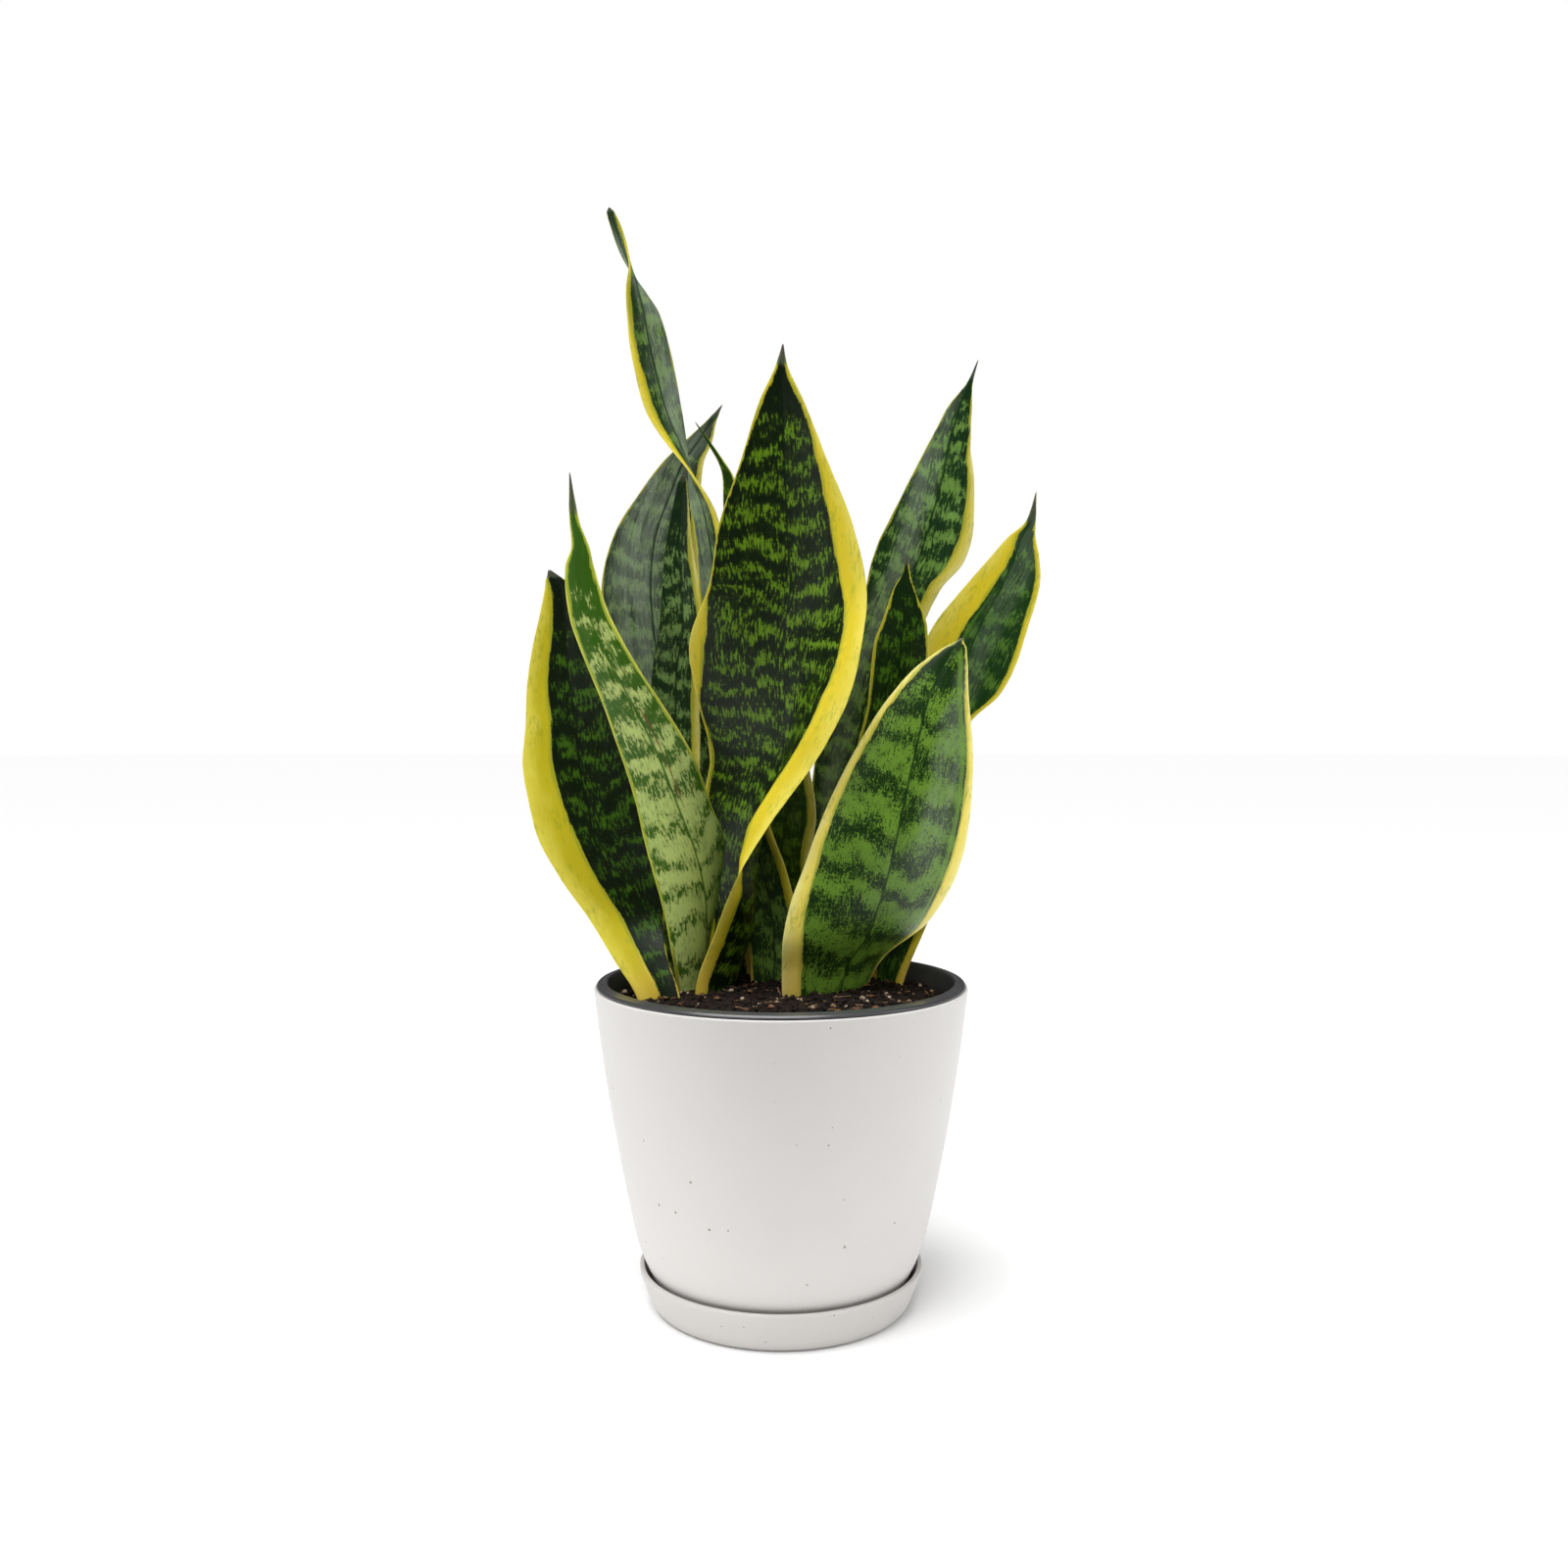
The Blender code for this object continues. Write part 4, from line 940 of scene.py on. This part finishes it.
def linerPlastic():
    net = Net("greyLinerPlastic", Specular_IOR_Level=0.6, Coat_Weight=0.25, Coat_Roughness=0.12)
    where = net.objectPlace()
    cloud = net.grain(where, plasticLook["cloudScale"], 3.0, 0.55) - 0.5
    fine = net.grain(where, plasticLook["fineScale"], 2.0, 0.6) - 0.5
    dust = net.steps(net.grain(where, plasticLook["dustScale"], 3.0, 0.6),
                     *plasticLook["dustSpan"])
    shown = net.mix(cloud + 0.5, plasticLook["dark"], plasticLook["light"])
    shown = net.mix(dust * plasticLook["dustShare"], shown, plasticLook["dust"])
    rough = (plasticLook["rough"] + cloud * plasticLook["roughCloud"]
             + dust * plasticLook["roughDust"])
    height = fine * plasticLook["fineBump"] + cloud * plasticLook["cloudBump"]
    return net.feed(Base_Color=shown, Roughness=rough,
                    Normal=net.bump(height, plasticLook["bump"], plasticLook["bumpStrength"]))


linerInset = (pot["wall"] + liner["space"]) * mm
linerWall = liner["wall"] * mm
linerBase = linerLow.z
flangeTop = linerHigh.z
flangeBase = flangeTop - liner["flange"] * mm
flangeOuter = linerHigh.x
flangeInner = wallRadius(flangeBase, linerInset + linerWall)
profile = [(0.0, linerBase + linerWall)]
profile += wallLine(linerBase + linerWall, flangeBase, liner["rings"], linerInset + linerWall)
profile += rounded([
    profile[-1], (flangeInner + liner["beadStart"] * mm, flangeTop),
    (flangeInner + liner["beadTop"] * mm, flangeTop),
    (flangeInner + liner["beadEnd"] * mm, flangeTop - liner["beadDrop"] * mm),
    (flangeOuter - liner["shelfEdge"] * mm, flangeTop - liner["shelfDrop"] * mm),
    (flangeOuter, flangeBase + liner["rimRise"] * mm),
    (flangeOuter - liner["rimTuck"] * mm, flangeBase),
    (wallRadius(flangeBase, linerInset), flangeBase)], liner["arc"] * mm, liner["arcSteps"])[1:]
profile += list(reversed(wallLine(linerBase, flangeBase, liner["rings"], linerInset)))[1:]
profile += [(0.0, linerBase)]
bm = bmesh.new()
spinProfile(bm, profile, pot["steps"])
drillHoles(bm, liner, linerBase, linerBase + linerWall)
linerPiece = toMesh("greyLiner", bm, [linerPlastic()], ["inner_pot"])
linerPiece.data.set_sharp_from_angle(angle=sharpFrom)
print("liner built")


# soil
soil = {   # lengths in mm; each unevenness is its height and length, and layers keep them apart
    "lump": (2.2, 9), "crumb": (1.1, 2.6), "fine": (0.495, 1.1), "layers": (0.3, 0.9, 1.9),
    "lumpShare": 0.6, "sink": 0.6, "rings": 64, "steps": 220, "sideRings": 8,
    "edge": 0.999, "topDepth": 1, "sideDrop": 3,
}
soilLook = {   # scales per metre, spans of soft steps, shares and colours
    "lumpScale": 260.0, "crumbScale": 900.0, "lumpSpan": (0.35, 0.70), "crumbSpan": (0.62, 0.72),
    "dark": (0.003, 0.002, 0.0015), "light": (0.017, 0.009, 0.006),
    "crumb": (0.08, 0.040, 0.020), "crumbShare": 0.6, "rough": 0.85, "roughCrumb": 0.12,
    "lumpBump": 0.6, "crumbBump": 0.5, "bump": 0.0007, "bumpStrength": 0.9,
}


def soilMix():
    net = Net("darkPottingMix", Specular_IOR_Level=0.25)
    where = net.objectPlace()
    lumps = net.grain(where, soilLook["lumpScale"], 4.0, 0.65)
    crumbs = net.grain(where, soilLook["crumbScale"], 3.0, 0.6)
    shown = net.mix(net.steps(lumps, *soilLook["lumpSpan"]), soilLook["dark"], soilLook["light"])
    shown = net.mix(net.steps(crumbs, *soilLook["crumbSpan"]) * soilLook["crumbShare"], shown,
                    soilLook["crumb"])
    height = lumps * soilLook["lumpBump"] + crumbs * soilLook["crumbBump"]
    return net.feed(Base_Color=shown, Roughness=soilLook["rough"] + crumbs * soilLook["roughCrumb"],
                    Normal=net.bump(height, soilLook["bump"], soilLook["bumpStrength"]))


fleckLook = {"span": (0.38, 0.64), "poreScale": 4, "roughPores": 0.15, "poreBump": 0.7,
             "spotBump": 0.4, "bump": 0.0004, "bumpStrength": 0.7}


def flecked(name, first, second, scale, rough):
    # a rough natural finish in two mottled colours
    net = Net(name, Specular_IOR_Level=0.3)
    where = net.objectPlace()
    spots = net.steps(net.grain(where, scale, 3.0, 0.6), *fleckLook["span"])
    pores = net.grain(where, scale * fleckLook["poreScale"], 2.0, 0.6)
    height = pores * fleckLook["poreBump"] + spots * fleckLook["spotBump"]
    return net.feed(Base_Color=net.mix(spots, first, second),
                    Roughness=rough + pores * fleckLook["roughPores"],
                    Normal=net.bump(height, fleckLook["bump"], fleckLook["bumpStrength"]))


def soilHeight(x, y):
    def uneven(kind, layer):
        height, length = soil[kind]
        return noise.noise(Vector((x, y, layer)) / (length * mm)) * height * mm

    lump, crumb, fine = (uneven(kind, layer) for kind, layer in
                         zip(("lump", "crumb", "fine"), soil["layers"]))
    radius = (x * x + y * y) ** 0.5
    mound = soilMound * (1 - (radius / soilRadius) ** 2)
    return soilTop + mound + lump * soil["lumpShare"] + crumb + fine - soil["sink"] * mm


sideTop = soilTop - soil["sideDrop"] * mm
profile = [(soilRadius * soil["edge"] * step / soil["rings"], soilTop)
           for step in range(soil["rings"] + 1)]
profile += reversed(wallLine(soilLow.z, sideTop, soil["sideRings"],
                             wallRadius(soilTop) - soilRadius))
profile += [(0.0, soilLow.z)]
bm = bmesh.new()
spinProfile(bm, profile, soil["steps"])
for vert in bm.verts:
    if vert.co.z > soilTop - soil["topDepth"] * mm:
        vert.co.z = soilHeight(vert.co.x, vert.co.y)
toMesh("pottingMix", bm, [soilMix()], ["soil"])


bitShape = {   # shares of a bit's own size
    "uneven": 0.7, "lumps": 2.2, "rootThick": 0.035, "rootThin": 0.015, "rootSides": 5,
    "rootCuts": 4, "edgeClear": 2.5,     # how far all of them stay from the soil's edge, in mm
}


def pebble(bm, width, stretch, squash, shift):
    # an uneven crumb, grain or chip
    made = bmesh.ops.create_icosphere(bm, subdivisions=1, radius=width / 2)["verts"]
    for vert in made:
        bump = noise.noise(vert.co / width * bitShape["lumps"] + shift)
        push = 1 + bitShape["uneven"] * bump
        vert.co = Vector((vert.co.x * push * stretch, vert.co.y * push, vert.co.z * push * squash))
    return made


def fibre(bm, length, bow):
    # a thin root with a slight bend; tags mark the roots that are done
    made = bmesh.ops.create_cone(bm, cap_ends=True, segments=bitShape["rootSides"],
                                 radius1=length * bitShape["rootThick"],
                                 radius2=length * bitShape["rootThin"], depth=length)["verts"]
    upright = {e for v in made for e in v.link_edges
               if abs(e.verts[0].co.z - e.verts[1].co.z) > length / 2}
    bmesh.ops.subdivide_edges(bm, edges=list(upright), cuts=bitShape["rootCuts"])
    made = [v for v in bm.verts if not v.tag]
    for vert in made:
        vert.tag = True
        vert.co.x += bow * length * (vert.co.z / length) ** 2
    bmesh.ops.rotate(bm, verts=made, cent=(0, 0, 0), matrix=Matrix.Rotation(pi / 2, 3, "X"))
    return made


def scatter(name, kind, material):
    # many small loose bits lying on the soil, clear of its edge
    draw = random.Random(kind["seed"])
    bm = bmesh.new()
    for _ in range(kind["count"]):
        radius = (soilRadius - bitShape["edgeClear"] * mm) * draw.random() ** 0.5
        turn = draw.uniform(0, 2 * pi)
        x, y = radius * cos(turn), radius * sin(turn)
        size = draw.uniform(*kind["size"]) * mm
        if "bow" in kind:
            made = fibre(bm, size, draw.uniform(-kind["bow"], kind["bow"]))
        else:
            shift = Vector((kind["seed"], x / mm, y / mm))
            made = pebble(bm, size, kind["stretch"], kind["squash"], shift)
        tilt = Matrix.Rotation(radians(draw.uniform(-kind["tilt"], kind["tilt"])), 3, "X")
        spin = Matrix.Rotation(draw.uniform(0, 2 * pi), 3, "Z")
        bmesh.ops.rotate(bm, verts=made, cent=(0, 0, 0), matrix=spin @ tilt)
        bmesh.ops.translate(bm, verts=made, vec=(x, y, soilHeight(x, y) + kind["lift"] * size))
    bmesh.ops.recalc_face_normals(bm, faces=bm.faces)
    return toMesh(name, bm, [material], smooth=not kind.get("angular", False))


# Sizes are in mm. Lift is how far a bit stands out of the soil, as a share of its size. A mix
# is a finish's name, its two colours, scale and roughness.
looseBits = {
    "soilCrumbs": {
        "seed": 11, "count": 1500, "size": (1.0, 3.0), "stretch": 1.0, "squash": 0.8,
        "tilt": 60, "lift": 0.15,
        "mix": ("crumbMix", (0.004, 0.0025, 0.0015), (0.024, 0.012, 0.007), 500.0, 0.85)},
    "paleGrains": {
        "seed": 12, "count": 130, "size": (0.8, 2.3), "stretch": 1.15, "squash": 0.8,
        "tilt": 60, "lift": 0.28,
        "mix": ("paleGrain", (0.22, 0.12, 0.06), (0.55, 0.45, 0.33), 420.0, 0.8)},
    "barkChips": {
        "seed": 13, "count": 120, "size": (1.6, 3.4), "stretch": 1.6, "squash": 0.35,
        "tilt": 25, "lift": 0.2, "angular": True,
        "mix": ("barkChip", (0.040, 0.018, 0.009), (0.20, 0.105, 0.045), 420.0, 0.8)},
    "rootFibres": {
        "seed": 14, "count": 90, "size": (4.0, 10.0), "bow": 0.5, "tilt": 12, "lift": 0.05,
        "mix": ("rootFibre", (0.16, 0.09, 0.045), (0.36, 0.24, 0.13), 500.0, 0.8)},
}
for name, kind in looseBits.items():
    scatter(name, kind, flecked(*kind["mix"]))
print("soil built")


# the stems under the soil
stems = {"nodes": ("rhizome_left", "rhizome_back", "rhizome_right"),
         "mix": ("stemRind", (0.34, 0.20, 0.08), (0.62, 0.44, 0.22), 160.0, 0.6)}
stemRind = flecked(*stems["mix"])
for node in stems["nodes"]:
    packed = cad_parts[node]
    packed.data.materials.clear()
    packed.data.materials.append(stemRind)
print("stems finished")
